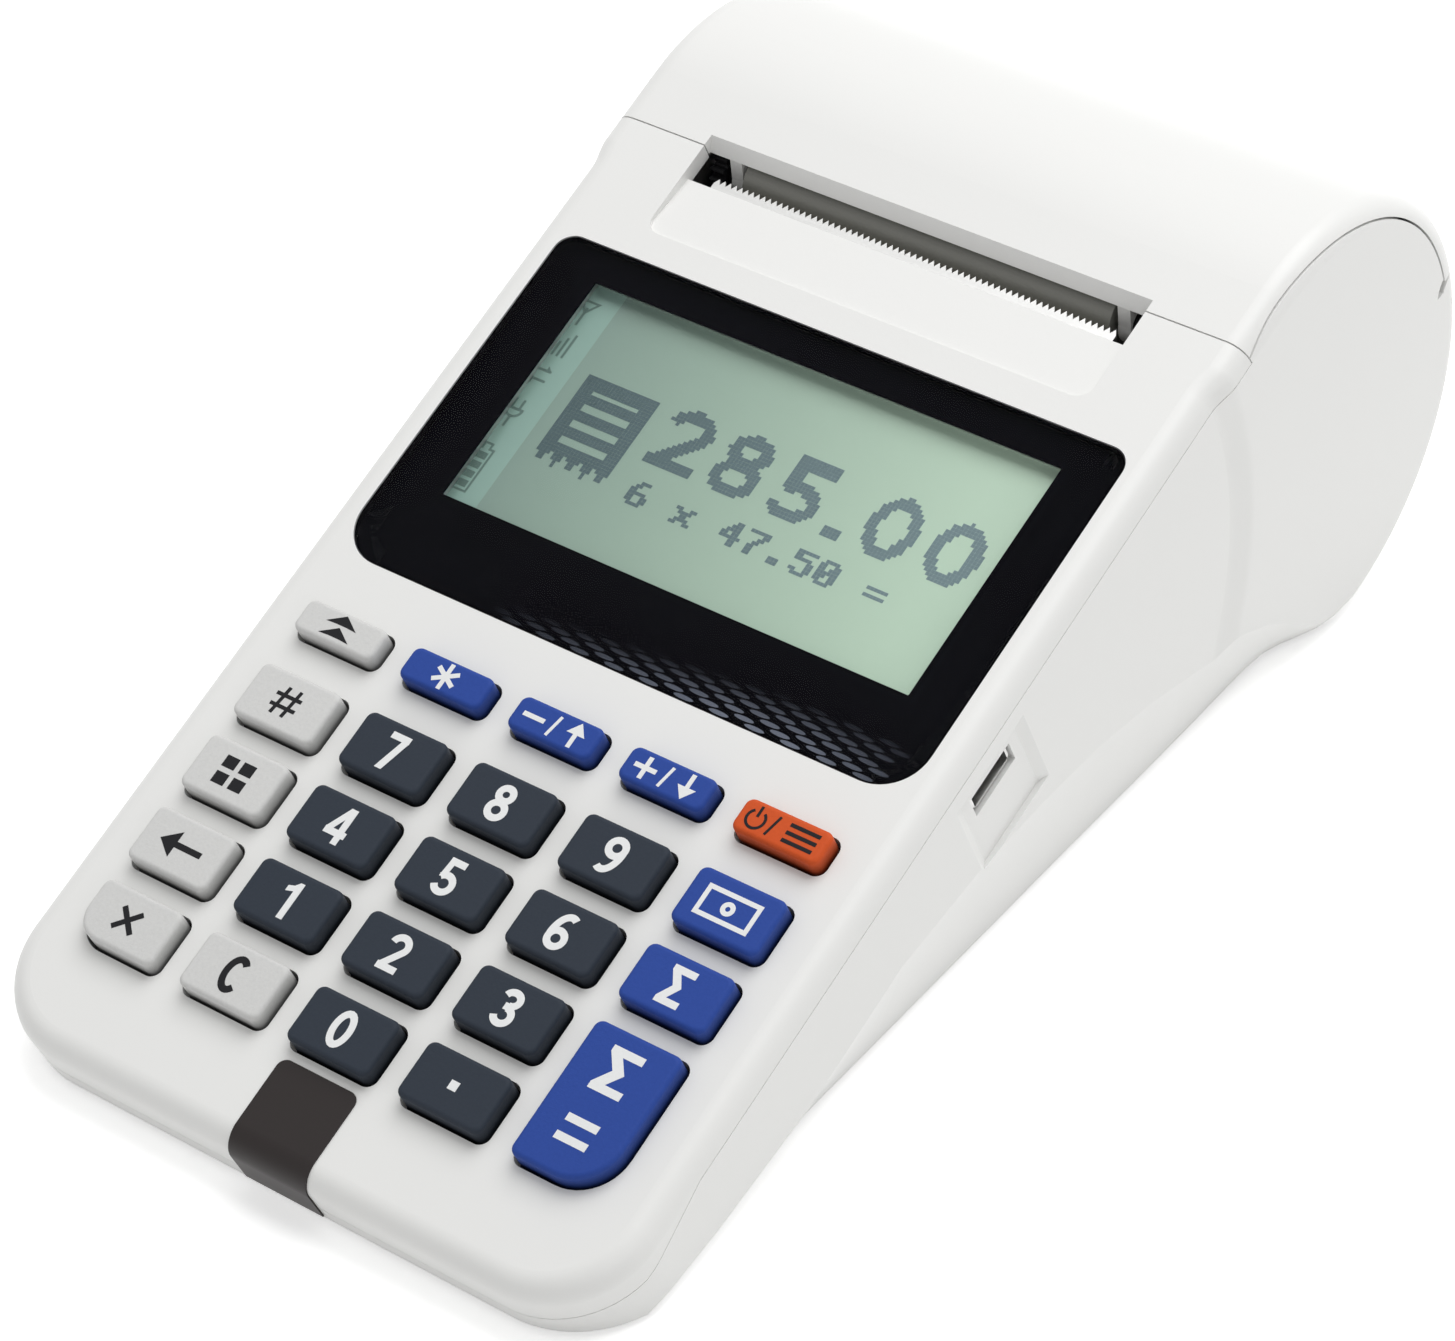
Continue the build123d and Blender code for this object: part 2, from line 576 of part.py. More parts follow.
# ------------------------------------------------------------------ lower casing
def paper_bay():
    """Curved wall between the paper roll and the electronics."""
    y, z = side(BAY_S, -BAY_DEPTH)
    ring = Circle(BAY_R + BAY_T) - Circle(BAY_R)
    far = 2 * BAY_R
    a0, a1 = math.radians(BAY_FROM), math.radians(BAY_TO)
    mid = (a0 + a1) / 2
    wedge = [(0, 0), (far * math.cos(a0), far * math.sin(a0))]
    wedge += [(2 * far * math.cos(mid), 2 * far * math.sin(mid)), (far * math.cos(a1), far * math.sin(a1))]
    arc = Pos(y, z) * (ring & polygon(wedge))
    r = BAY_R + BAY_T
    end = (y + r * math.cos(a1), z + r * math.sin(a1))
    foot = [(end[0], FOOT_H + 1), (end[0] + BAY_T, FOOT_H + 1), (end[0] + BAY_T, end[1]), (end[0], end[1] + 1)]
    strut = prism(polygon(foot), -CAV_X - 0.5, CAV_X + 0.5)
    bay = prism(arc, -CAV_X - 0.5, CAV_X + 0.5) + strut
    _, split = screw_levels(REAR_SCREW)
    return bay - both(post(REAR_SCREW[0], Y_FRONT + REAR_SCREW[1], BOSS_R + 0.5, split, 3 * DRUM_R))


def battery_bay():
    """Box for the battery with its rim, and the room cut from it."""
    x, y = BATT_W / 2 + BATT_ROOM, Y_FRONT + BATT_Y
    dy = BATT_L / 2 + BATT_ROOM
    top = FOOT_H + COVER_T + BATT_H + 0.6
    solid = block(-x - BAY_WALL, x + BAY_WALL, y - dy - BAY_WALL, y + dy + BAY_WALL, FOOT_H + 0.2, top + BAY_WALL)
    rim = COVER_LAP + COVER_GAP + BAY_WALL
    solid += block(-x - rim, x + rim, y - dy - rim - COVER_TAIL, y + dy + rim, FOOT_H + 0.2, FOOT_H + COVER_T + 1.8)
    room = block(-x, x, y - dy, y + dy, 0, top)
    lap = COVER_LAP + COVER_GAP
    seat = block(-x - lap, x + lap, y - dy - lap - COVER_TAIL, y + dy + lap, 0, FOOT_H + COVER_T + TOUCH)
    return solid, room + seat


def cover_screws():
    """Places of the two screws in the battery cover's tail."""
    y = Y_FRONT + BATT_Y - BATT_L / 2 - BATT_ROOM - COVER_LAP - COVER_TAIL / 2 + COVER_GAP
    return [(-BATT_W / 3, y), (BATT_W / 3, y)]


def port_cut():
    """Dished patch and opening for the port in the right wall."""
    x = SIDE_X - DISH_DEPTH
    out = SIDE_X + WALL
    k = DISH_DRAFT * (out - x) / DISH_DEPTH
    s0, s1 = USB_S - DISH_HALF + DISH_DRAFT, USB_S + DISH_HALF - DISH_DRAFT
    w0, w1 = -USB_MID - DISH_DOWN, -USB_MID + DISH_UP - DISH_DRAFT
    foot = polygon([(s0, w0), (s1, w0), (s1, w1), (s0, w1)])
    head = polygon([(s0 - k, w0), (s1 + k, w0), (s1 + k, w1 + k), (s0 - k, w1 + k)])
    local = Plane(origin=(0, 0, 0), x_dir=(0, 1, 0), z_dir=(1, 0, 0))
    dish = loft([local.offset(x) * foot, local.offset(out) * head], ruled=True)
    mouth = Pos(SIDE_X, USB_S, -USB_MID) * Box(4 * WALL, USB_W + 2 * USB_GAP, USB_H + 2 * USB_GAP)
    return on_panel(dish + mouth)


def lower_casing(hull, outer):
    """Lower moulding: tray, side walls, drum cheeks and the wall behind the paper."""
    bay_solid, bay_room = battery_bay()
    inner = paper_bay() + bay_solid
    for place, r in ((FRONT_SCREW, BOSS_R), (REAR_SCREW, REAR_BOSS_R)):
        _, split = screw_levels(place)
        inner = inner + both(post(place[0], Y_FRONT + place[1], r, FOOT_H + 1, split))
    for x, y in FEET:
        inner = inner + both(post(x, Y_FRONT + y, FOOT_R + 1.6, FOOT_H + 0.5, FOOT_H + WALL + 0.4))
    body = (hull + (inner & outer)) - upper_zone(1) - lid_zone(SEAM / 2, -CAV_X, CAV_X)
    keep = flange_circle(SEAM + 0.1, CAV_X - 1, CHEEK_X + 5)
    body = body - both(lid_zone(SEAM / 2, CAV_X - 0.01, CHEEK_X + 4) - keep)
    body = body - rod(HINGE_Y, HINGE_Z, HINGE_CLEAR, -EAR_X, EAR_X)
    ring = rod(HINGE_Y, HINGE_Z, HINGE_CLEAR, EAR_X - 0.01, CHEEK_X + 1) - rod(HINGE_Y, HINGE_Z, EAR_R, 0, CHEEK_X + 2)
    body = body - both(ring - prism(hinge_web(), 0, CHEEK_X + 2))
    ear = rod(HINGE_Y, HINGE_Z, EAR_R, EAR_X, CHEEK_X) + prism(hinge_web(), EAR_X, CHEEK_X)
    body = body + both(ear & outer)
    body = body - both(rod(HINGE_Y, HINGE_Z, PIN_R + RUN_FIT, EAR_X - 1, EAR_X + PIN_GRIP + 0.2))
    body = body - bay_room - port_cut()
    for place in (FRONT_SCREW, REAR_SCREW):
        seat, split = screw_levels(place)
        x, y = place[0], Y_FRONT + place[1]
        body = body - both(post(x, y, SCREW_HEAD_R + HEAD_ROOM, 0, seat) + post(x, y, SCREW_R + 0.2, 0, split + 1))
    for x, y in cover_screws():
        body = body - post(x, y, 0.9, FOOT_H, FOOT_H + COVER_T + 1.4)
    for x, y in FEET:
        body = body - both(post(x, Y_FRONT + y, FOOT_R + 0.1, 0, FOOT_H + FOOT_SEAT))
    return body


# --------------------------------------------------------------------- paper lid
def arm_profile():
    """Side shape of the lid arms that hold the roller's bushes."""
    s, w, r = ROLL_S, -ROLL_DEPTH, BUSH_R + ARM_RIM
    top = 0.6 - LID_T
    web = polygon([side(s - r, w), side(s + r, w), side(s + r + 1.6, top), side(LID_S + SEAM + 0.5, top)])
    return web + Pos(*side(s, w)) * Circle(r)


def paper_lid(outer):
    """Curved cover over the paper: skin, side flanges, hinge bead and roller arms."""
    lid = outer & lid_zone(-SEAM / 2, -CHEEK_X - 2, CHEEK_X + 2)
    lid = lid - prism(profile(LID_T), -LID_X, LID_X)
    lid = lid - both(flange_circle(0, LID_X - 0.01, CHEEK_X + 3))
    lid = lid - both(rod(HINGE_Y, HINGE_Z, BEAD_R + 0.3, EAR_X - 0.3, CHEEK_X + 3))
    lid = lid + rod(HINGE_Y, HINGE_Z, BEAD_R, -BEAD_X, BEAD_X)
    lid = lid + both(prism(arm_profile(), ARM_X, ARM_X + ARM_T))
    edge = LID_S + 2 * SEAM
    lip = [(LID_S - LID_T, LID_T), (LID_S - LID_T, -LID_T - SEAM), (LID_S + SEAM, -LID_T - SEAM)]
    lip += [(edge, -LID_T), (edge + LIP_RISE, 0), (edge + 2 * LIP_RISE, LID_T)]
    lid = lid - panel_prism(lip, -SLOT_X, SLOT_X)
    lid = lid - panel_rod(ROLL_S, -ROLL_DEPTH, BUSH_R, -CHASSIS_X, CHASSIS_X)
    return lid - both(rod(HINGE_Y, HINGE_Z, PIN_R, BEAD_X - PIN_L + PIN_GRIP + 0.4, BEAD_X + 1))


def hinge_pins():
    """Steel pins pressed into the lid's bead."""
    x1 = EAR_X + PIN_GRIP
    return both(rod(HINGE_Y, HINGE_Z, PIN_R, x1 - PIN_L, x1))


# ------------------------------------------------------------------------ printer
def gear_face(teeth, phase):
    """Involute spur gear outline with a tooth centred at the angle phase, in degrees."""
    r = MODULE * teeth / 2
    tip, root = r + 0.8 * MODULE, r - 1.1 * MODULE
    base = r * math.cos(math.radians(PRESSURE))
    inv = math.tan(math.radians(PRESSURE)) - math.radians(PRESSURE)
    half = math.pi / (2 * teeth) - 0.02 / r
    flank = []
    start = max(base, root)
    for i in range(4):
        q = start + (tip - start) * i / 3
        t = math.acos(min(base / q, 1))
        flank.append((q, half + inv - (math.tan(t) - t)))
    if root < base:
        flank.insert(0, (root, flank[0][1] + 0.02))
    pts = []
    for n in range(teeth):
        mid = math.radians(phase) + 2 * math.pi * n / teeth
        pts += [(q * math.cos(mid - a), q * math.sin(mid - a)) for q, a in flank]
        pts += [(q * math.cos(mid + a), q * math.sin(mid + a)) for q, a in reversed(flank)]
    return polygon(pts)


def mate_phase(angle, teeth, phase, mate):
    """Tooth phase of a mate that lies at the given angle, so that the teeth interleave."""
    step = 360 / teeth
    lead = (phase - angle) % step
    return angle + 180 - lead * teeth / mate + 180 / mate


def centre_step(a, b):
    """Centre distance of two meshing gears."""
    return MODULE * (a + b) / 2 + MESH


def idler_place():
    """Idler centre on the panel's section."""
    d, a = centre_step(ROLL_N, IDLER_N), math.radians(IDLER_DIR)
    return ROLL_S + d * math.cos(a), -ROLL_DEPTH + d * math.sin(a)


def pinion_place():
    """Pinion centre on the panel's section."""
    s, w = idler_place()
    d, a = centre_step(IDLER_N, PINION_N), math.radians(PINION_DIR)
    return s + d * math.cos(a), w + d * math.sin(a)


def gear(teeth, phase, place, bore):
    """Gear between the printer's left arm and plate, on the panel's section."""
    face = gear_face(teeth, phase) - Circle(bore)
    plane = Plane(origin=(-GEAR_X - GEAR_T, place[0], place[1]), x_dir=(0, 1, 0), z_dir=(1, 0, 0))
    return on_panel(extrude(plane * face, amount=GEAR_T))


def phases():
    """Tooth phases of roller gear, idler and pinion."""
    roll = IDLER_DIR
    idler = mate_phase(IDLER_DIR, ROLL_N, roll, IDLER_N)
    pinion = mate_phase(PINION_DIR, IDLER_N, idler, PINION_N)
    return roll, idler, pinion


def platen_shaft():
    """Steel shaft of the roller."""
    return panel_rod(ROLL_S, -ROLL_DEPTH, SHAFT_R, -SHAFT_X, SHAFT_X)


def platen_rubber():
    """Rubber sleeve of the roller."""
    sleeve = panel_rod(ROLL_S, -ROLL_DEPTH, ROLL_R, -ROLL_X, ROLL_X)
    return sleeve - platen_shaft()


def platen_bushes():
    """Flanged bushes between shaft and lid arms."""
    bush = panel_rod(ROLL_S, -ROLL_DEPTH, BUSH_R, ARM_X, ARM_X + ARM_T)
    bush += panel_rod(ROLL_S, -ROLL_DEPTH, BUSH_R + BUSH_RIM, ARM_X + ARM_T, ARM_X + ARM_T + BUSH_RIM)
    return both(bush - panel_rod(ROLL_S, -ROLL_DEPTH, SHAFT_R + RUN_FIT, 0, SHAFT_X))


def notch():
    """Open notch that lets the shaft swing out of the chassis with the lid."""
    s, w, r = ROLL_S, -ROLL_DEPTH, SHAFT_R + SHAFT_PLAY
    y, z = side(s, w)
    dy, dz = HINGE_Y - y, HINGE_Z - z
    reach = math.hypot(dy, dz)
    pts_out, pts_in = [], []
    for i in range(5):
        a = math.radians(-6 + i * 7)
        c, q = math.cos(a), math.sin(a)
        for ring, rr in ((pts_out, reach + r), (pts_in, reach - r)):
            ux, uz = -dy / reach, -dz / reach
            vx, vz = ux * c + uz * q, -ux * q + uz * c
            ring.append((HINGE_Y + rr * vx, HINGE_Z + rr * vz))
    path = polygon(pts_out[1:] + pts_in[:0:-1])
    return prism(path + Pos(y, z) * Circle(r), -CHASSIS_X - 3, CHASSIS_X + 3)


def spring_wall():
    """Front face of the chassis wall behind the head's springs, on the panel's section."""
    return HEAD_S - HEAD_T - SINK_T - SPRING_GAP - PLATE_T


def printer_chassis():
    """Bent steel chassis: two cheeks with open notches, cross wall, head shelf and motor plate."""
    x, t = CHASSIS_X, PLATE_T
    s0, s1, s2 = CHASSIS_S, ROLL_S + CHASSIS_BACK, spring_wall()
    high = -WALL - CHASSIS_TOP
    low, shelf = high - CHASSIS_H, -HEAD_TOP - HEAD_H - SHELF_DROP
    cheek = [(s0, high), (s0, low + 4 * t), (s0 + 3 * t, low), (s1 - 6 * t, low), (s1, low + 6 * t)]
    cheek += [(s1, high - t), (s1 - t, high)]
    frame = both(panel_prism(cheek, x, x + t))
    wall = [(s2, -HEAD_TOP), (s2 + t, -HEAD_TOP), (s2 + t, shelf - t), (s2, shelf - t)]
    frame += panel_prism(wall, -x - 0.1, x + 0.1)
    si, wi = idler_place()
    frame = frame - panel_rod(si, wi, MODULE * (IDLER_N / 2 + 0.8) + SHAFT_PLAY, -x + 0.01, -GEAR_X + GEAR_GAP)
    brace = [(s0, -HEAD_TOP), (s0 + t, -HEAD_TOP), (s0 + t, -HEAD_TOP - HEAD_H), (s0, -HEAD_TOP - HEAD_H)]
    frame += panel_prism(brace, -x - 0.1, -GEAR_X + GEAR_GAP + t / 2)
    sole = [(s2, shelf), (HEAD_S, shelf), (HEAD_S, shelf - t), (s2, shelf - t)]
    frame += panel_prism(sole, -GEAR_X + GEAR_GAP + t / 2, x + 0.1)
    s, w = pinion_place()
    r = MOTOR_R + BUSH_RIM
    plate = [(s - r, w + r), (s2 + t / 2, w + r), (s2 + t / 2, w - r), (s - r, w - r)]
    frame += panel_prism(plate, -GEAR_X + GEAR_GAP, -GEAR_X + GEAR_GAP + t)
    ear = Pos(*CHASSIS_EAR, -EAR_W - t / 2) * Box(2 * SCREW_OUT, 5 * t, t)
    ear += Pos(*CHASSIS_EAR, -EAR_W - t / 2) * Cylinder(2.5 * t, t)
    ear = ear - Pos(*CHASSIS_EAR, -EAR_W) * Cylinder(1.15, 4 * t)
    frame += both(on_panel(ear & block(x, x + SCREW_OUT + 2.5 * t, 0, 2 * DRUM_S, -2 * EAR_W, 0)))
    frame = frame - notch()
    frame = frame - panel_rod(si, wi, IDLER_PIN_R, -x - 2 * t, -x + 1)
    return frame - panel_rod(s, w, COLLAR_R, -GEAR_X, -GEAR_X + GEAR_GAP + 2 * t)


def idler_pin():
    """Pin of the idler, riveted into the left cheek."""
    s, w = idler_place()
    return panel_rod(s, w, IDLER_PIN_R, -CHASSIS_X - PLATE_T - 0.3, -GEAR_X + 0.5)


def feed_motor():
    """Stepper motor can with its collar and bearing bore."""
    s, w = pinion_place()
    x0 = -GEAR_X + GEAR_GAP + PLATE_T
    can = panel_rod(s, w, MOTOR_R, x0, x0 + MOTOR_L)
    can += panel_rod(s, w, COLLAR_R, x0 - PLATE_T, x0 + 1)
    return can - panel_rod(s, w, SPINDLE_R + RUN_FIT, x0 - PLATE_T - 1, x0 + SPINDLE_IN + RUN_FIT)


def motor_pinion(phase):
    """Pinion with the motor's spindle."""
    s, w = pinion_place()
    spindle = panel_rod(s, w, SPINDLE_R, -GEAR_X - GEAR_T, -GEAR_X + GEAR_GAP + PLATE_T + SPINDLE_IN)
    return gear(PINION_N, phase, (s, w), SPINDLE_R) + spindle


def thermal_head():
    """Ceramic strip that prints against the roller, with its raised dot line."""
    rise = 0.15 * HEAD_T
    s0, s1 = HEAD_S - HEAD_T, HEAD_S - rise
    strip = [(s0, -HEAD_TOP), (s1, -HEAD_TOP), (s1, -HEAD_TOP - HEAD_H), (s0, -HEAD_TOP - HEAD_H)]
    line = -ROLL_DEPTH
    dots = [(s1 - rise, line + 0.7), (HEAD_S, line + 0.3), (HEAD_S, line - 0.3), (s1 - rise, line - 0.7)]
    x = ROLL_X - 4 * HEAD_T
    return panel_prism(strip, -ROLL_X, ROLL_X) + panel_prism(dots, -x, x)


def heat_sink():
    """Aluminium backing of the head, with a foot on the chassis shelf."""
    s1 = HEAD_S - HEAD_T
    s0 = s1 - SINK_T
    low, foot = -HEAD_TOP - HEAD_H, -HEAD_TOP - HEAD_H - SHELF_DROP + TOUCH
    bar = [(s0, -HEAD_TOP + 0.4), (s1, -HEAD_TOP + 0.4), (s1, low), (s1 - 0.3 * SINK_T, foot), (s0, foot)]
    body = panel_prism(bar, -ROLL_X, ROLL_X)
    top, cut = -HEAD_TOP - HEAD_T, s0 + 0.35 * SINK_T
    for i in range(9):
        x = (i - 4) * ROLL_X / 5
        slit = [(s0 - 1, top), (cut, top), (cut, low + HEAD_T), (s0 - 1, low + HEAD_T)]
        body = body - panel_prism(slit, x - 1, x + 1)
    return body


def head_springs():
    """Two leaf springs that press the head against the paper."""
    s0 = spring_wall() + PLATE_T + TOUCH
    s1 = s0 + SPRING_GAP - 2 * TOUCH
    t, mid, h = SPRING_T, -HEAD_TOP - HEAD_H / 2, HEAD_H / 2.2
    leaf = [(s0, mid - h), (s0, mid - h / 2), (s1 - t, mid), (s0, mid + h / 2), (s0, mid + h), (s0 + t, mid + h)]
    leaf += [(s0 + t, mid + h / 2 + t / 2), (s1, mid + t), (s1, mid - t), (s0 + t, mid - h / 2 - t / 2)]
    leaf += [(s0 + t, mid - h)]
    return both(panel_prism(leaf, HEAD_H / 2, HEAD_H))


def tear_bar():
    """Serrated steel bar under the slot's front edge."""
    w = -WALL - TOUCH - TEAR_T
    pitch = TEAR_W / TEAR_N
    root = SLOT_S + TEAR_OUT
    pts = [(-TEAR_W / 2, root - TEAR_L), (TEAR_W / 2, root - TEAR_L), (TEAR_W / 2, root)]
    for i in range(TEAR_N):
        x = TEAR_W / 2 - i * pitch
        if i:
            pts.append((x, root))
        pts.append((x - pitch / 2, root + TEAR_TOOTH))
    pts.append((-TEAR_W / 2, root))
    return on_panel(extrude(Pos(0, 0, w) * polygon(pts), amount=TEAR_T))


# ------------------------------------------------------------- window and inside
def display_window():
    """Clear window over the display."""
    return on_panel(extrude(Pos(0, 0, -WIN_SINK - WIN_T) * window_face(0), amount=WIN_T))


def view_face(grow_by):
    """Viewing area, grown on every side."""
    return Pos(0, VIEW_S + VIEW_D / 2) * Rectangle(VIEW_W + 2 * grow_by, VIEW_D + 2 * grow_by)


def window_mask():
    """Printed border behind the window, open over the display."""
    face = window_face(0) - view_face(0)
    return on_panel(extrude(Pos(0, 0, -WIN_SINK - WIN_T - MASK_T) * face, amount=MASK_T))


def lcd_levels():
    """Glass front and frame front of the display below the panel."""
    front = WIN_SINK + WIN_T + MASK_T + LCD_GAP
    return front, front + LCD_FRAME_T


def lcd_frame():
    """Steel bezel of the display, seated on the board."""
    top, glass = lcd_levels()
    depth = BOARD_TOP - TOUCH - top
    box = extrude(Pos(0, 0, -top) * view_face(LCD_BORDER), amount=-depth)
    room = extrude(Pos(0, 0, -glass) * view_face(LCD_BORDER - LCD_RIM), amount=-depth)
    hole = extrude(Pos(0, 0, -top + 1) * view_face(LCD_RIM), amount=-2 - LCD_FRAME_T)
    return on_panel(box - room - hole)


def lcd_glass():
    """Glass and light guide of the display, inside the bezel."""
    _, glass = lcd_levels()
    depth = BOARD_TOP - 2 * TOUCH - glass
    return on_panel(extrude(Pos(0, 0, -glass - TOUCH) * view_face(LCD_BORDER - LCD_RIM - 0.1), amount=-depth))


def keypad_mat():
    """Rubber mat with a dome under every key and a foot under every dome."""
    keys = key_table()
    x = 2 * PITCH_X + KEY_W / 2
    s0, s1 = ROW4_S - KEY_D / 2 - MAT_EDGE, ROW0_S + THIN_D / 2 + MAT_EDGE
    face = Pos(0, (s0 + s1) / 2) * rounded(2 * x, s1 - s0, (4, 4, 1.5, 1.5))
    mat = extrude(Pos(0, 0, -MAT_TOP - MAT_T) * face, amount=MAT_T)
    foot = BOARD_TOP - MAT_TOP - MAT_T - TOUCH
    for _, kx, ks, d, _ in keys:
        r = min(DOME_R, d / 2)
        mat = mat + Pos(kx, ks, -MAT_TOP + DOME_H / 2) * Cylinder(r - 0.4, DOME_H)
        mat = mat + Pos(kx, ks, -MAT_TOP - MAT_T - foot / 2) * Cylinder(r - 0.8, foot)
    return on_panel(mat)


def main_board():
    """Circuit board under the keys and the display, parallel to the panel."""
    mid = (BOARD_S0 + BOARD_S1) / 2
    face = Pos(0, mid) * rounded(BOARD_W, BOARD_S1 - BOARD_S0, (BOARD_R, BOARD_R, 1.5, 1.5))
    board = extrude(Pos(0, 0, -BOARD_TOP - BOARD_T) * face, amount=BOARD_T)
    board = on_panel(board)
    for x, s in POSTS:
        board = board - both(on_panel(Pos(x, s, -BOARD_TOP) * Cylinder(0.8, 5)))
    half = USB_W / 2 + COVER_GAP
    notch_box = block(SIDE_X - USB_L - WALL - 0.6, SIDE_X, USB_S - half, USB_S + half, -2 * USB_MID, 0)
    return board - on_panel(notch_box)


def usb_socket():
    """Micro port in a notch of the board, its mouth in the wall's opening."""
    x1 = SIDE_X - DISH_DEPTH - USB_SINK
    half = USB_W / 2
    box = block(x1 - USB_L - 0.6, x1, USB_S - half, USB_S + half, -USB_MID - USB_H / 2, -USB_MID + USB_H / 2)
    low = box.edges().filter_by(Axis.X).group_by(Axis.Z)[0]
    box = chamfer(low, 0.7)
    room = Pos(x1, USB_S, -USB_MID) * Box(2 * USB_L - 3, USB_W - 0.8, USB_H - 0.8)
    tongue = Pos(x1 - USB_L / 2 - 0.6, USB_S, -USB_MID + 0.25) * Box(USB_L, USB_W - 2.6, 0.6)
    wings = Pos(x1 - USB_L + 0.6, USB_S, -BOARD_TOP + 0.15 + TOUCH) * Box(2.4, USB_W + 2.4, 0.3)
    return on_panel(box - room + tongue + wings)


def battery_pack():
    """Flat battery pack with rounded long edges."""
    z0 = FOOT_H + COVER_T + 0.3
    pack = block(-BATT_W / 2, BATT_W / 2, Y_FRONT + BATT_Y - BATT_L / 2, Y_FRONT + BATT_Y + BATT_L / 2, z0, z0 + BATT_H)
    return fillet(pack.edges().filter_by(Axis.X), 2.5)


def battery_cover():
    """Screwed cover of the battery bay, flush with the underside."""
    x = BATT_W / 2 + BATT_ROOM + COVER_LAP
    y = Y_FRONT + BATT_Y
    dy = BATT_L / 2 + BATT_ROOM + COVER_LAP
    plate = block(-x, x, y - dy - COVER_TAIL, y + dy, FOOT_H, FOOT_H + COVER_T)
    plate = fillet(plate.edges().filter_by(Axis.Z), 0.15)
    for sx, sy in cover_screws():
        plate = plate - post(sx, sy, 1.95, 0, FOOT_H + 1.1) - post(sx, sy, 1.0, 0, 9)
    for i in range(5):
        plate = plate - block(-9, 9, y + dy - 8.0 + i * 1.2, y + dy - 7.4 + i * 1.2, 0, FOOT_H + 0.4)
    return plate


def cover_screw_set():
    """The two screws of the battery cover."""
    screws = []
    for x, y in cover_screws():
        screws.append(post(x, y, 1.8, FOOT_H + 0.2, FOOT_H + 1.1 - TOUCH) + post(x, y, 0.88, FOOT_H + 0.3, FOOT_H + COVER_T + 1.3))
    return Part() + screws


def casing_screws():
    """Four screws that hold the two mouldings together from below."""
    screws = []
    for place in (FRONT_SCREW, REAR_SCREW):
        seat, _ = screw_levels(place)
        x, y = place[0], Y_FRONT + place[1]
        head = post(x, y, SCREW_HEAD_R, seat - SCREW_HEAD_H, seat - TOUCH)
        bit = post(x, y, 0.9, seat - SCREW_HEAD_H - 1, seat - SCREW_HEAD_H + 0.8)
        screws.append(both(head - bit + post(x, y, SCREW_R - TOUCH, seat - 0.5, screw_tip(place))))
    return Part() + screws


def printer_screws():
    """Two screws that hang the printer chassis under the panel."""
    head = Pos(*CHASSIS_EAR, -EAR_W - PLATE_T - 0.6) * Cylinder(1.9, 1.2 - TOUCH)
    shank = Pos(*CHASSIS_EAR, -EAR_W - PLATE_T + 1.9) * Cylinder(1.0 - TOUCH, 4.0)
    return on_panel(both(head + shank))


def board_screws():
    """Four screws that hold the board to its posts."""
    screws = []
    for x, s in POSTS:
        head = Pos(x, s, -BOARD_TOP - BOARD_T - 0.5) * Cylinder(1.6, 1.0 - TOUCH)
        shank = Pos(x, s, -BOARD_TOP - BOARD_T + 1.0) * Cylinder(0.8 - TOUCH, 2.4)
        screws.append(both(head + shank))
    return on_panel(Part() + screws)


def rubber_feet():
    """Four round feet set into the underside."""
    feet = []
    for x, y in FEET:
        foot = post(x, Y_FRONT + y, FOOT_R, 0, FOOT_H + FOOT_SEAT - TOUCH)
        rim = foot.edges().group_by(Axis.Z)[0]
        feet.append(both(fillet(rim, 0.3)))
    return Part() + feet


def front_label():
    """Bare label wrapped over the casing's front edge."""
    t0, t1 = TOUCH, TOUCH + LABEL_T
    r0, r1 = EDGE_R + t0, EDGE_R + t1
    c = (EDGE_R, -EDGE_R)
    h = math.sqrt(0.5)
    skin = Line((LABEL_S, t0), (c[0], t0)), ThreePointArc((c[0], t0), (c[0] - r0 * h, c[1] + r0 * h), (-t0, c[1]))
    foot = Line((-t0, c[1]), (-t0, -LABEL_DOWN)), Line((-t0, -LABEL_DOWN), (-t1, -LABEL_DOWN))
    face = Line((-t1, -LABEL_DOWN), (-t1, c[1])), ThreePointArc((-t1, c[1]), (c[0] - r1 * h, c[1] + r1 * h), (c[0], t1))
    end = Line((c[0], t1), (LABEL_S, t1)), Line((LABEL_S, t1), (LABEL_S, t0))
    outline = make_face([*skin, *foot, *face, *end])
    plane = Plane(origin=(-LABEL_W / 2, 0, 0), x_dir=(0, 1, 0), z_dir=(1, 0, 0))
    label = extrude(plane * outline, amount=LABEL_W)
    label = fillet(label.edges().filter_by(Axis.Z).group_by(Axis.Y)[-1], LABEL_R)
    return on_panel(label)


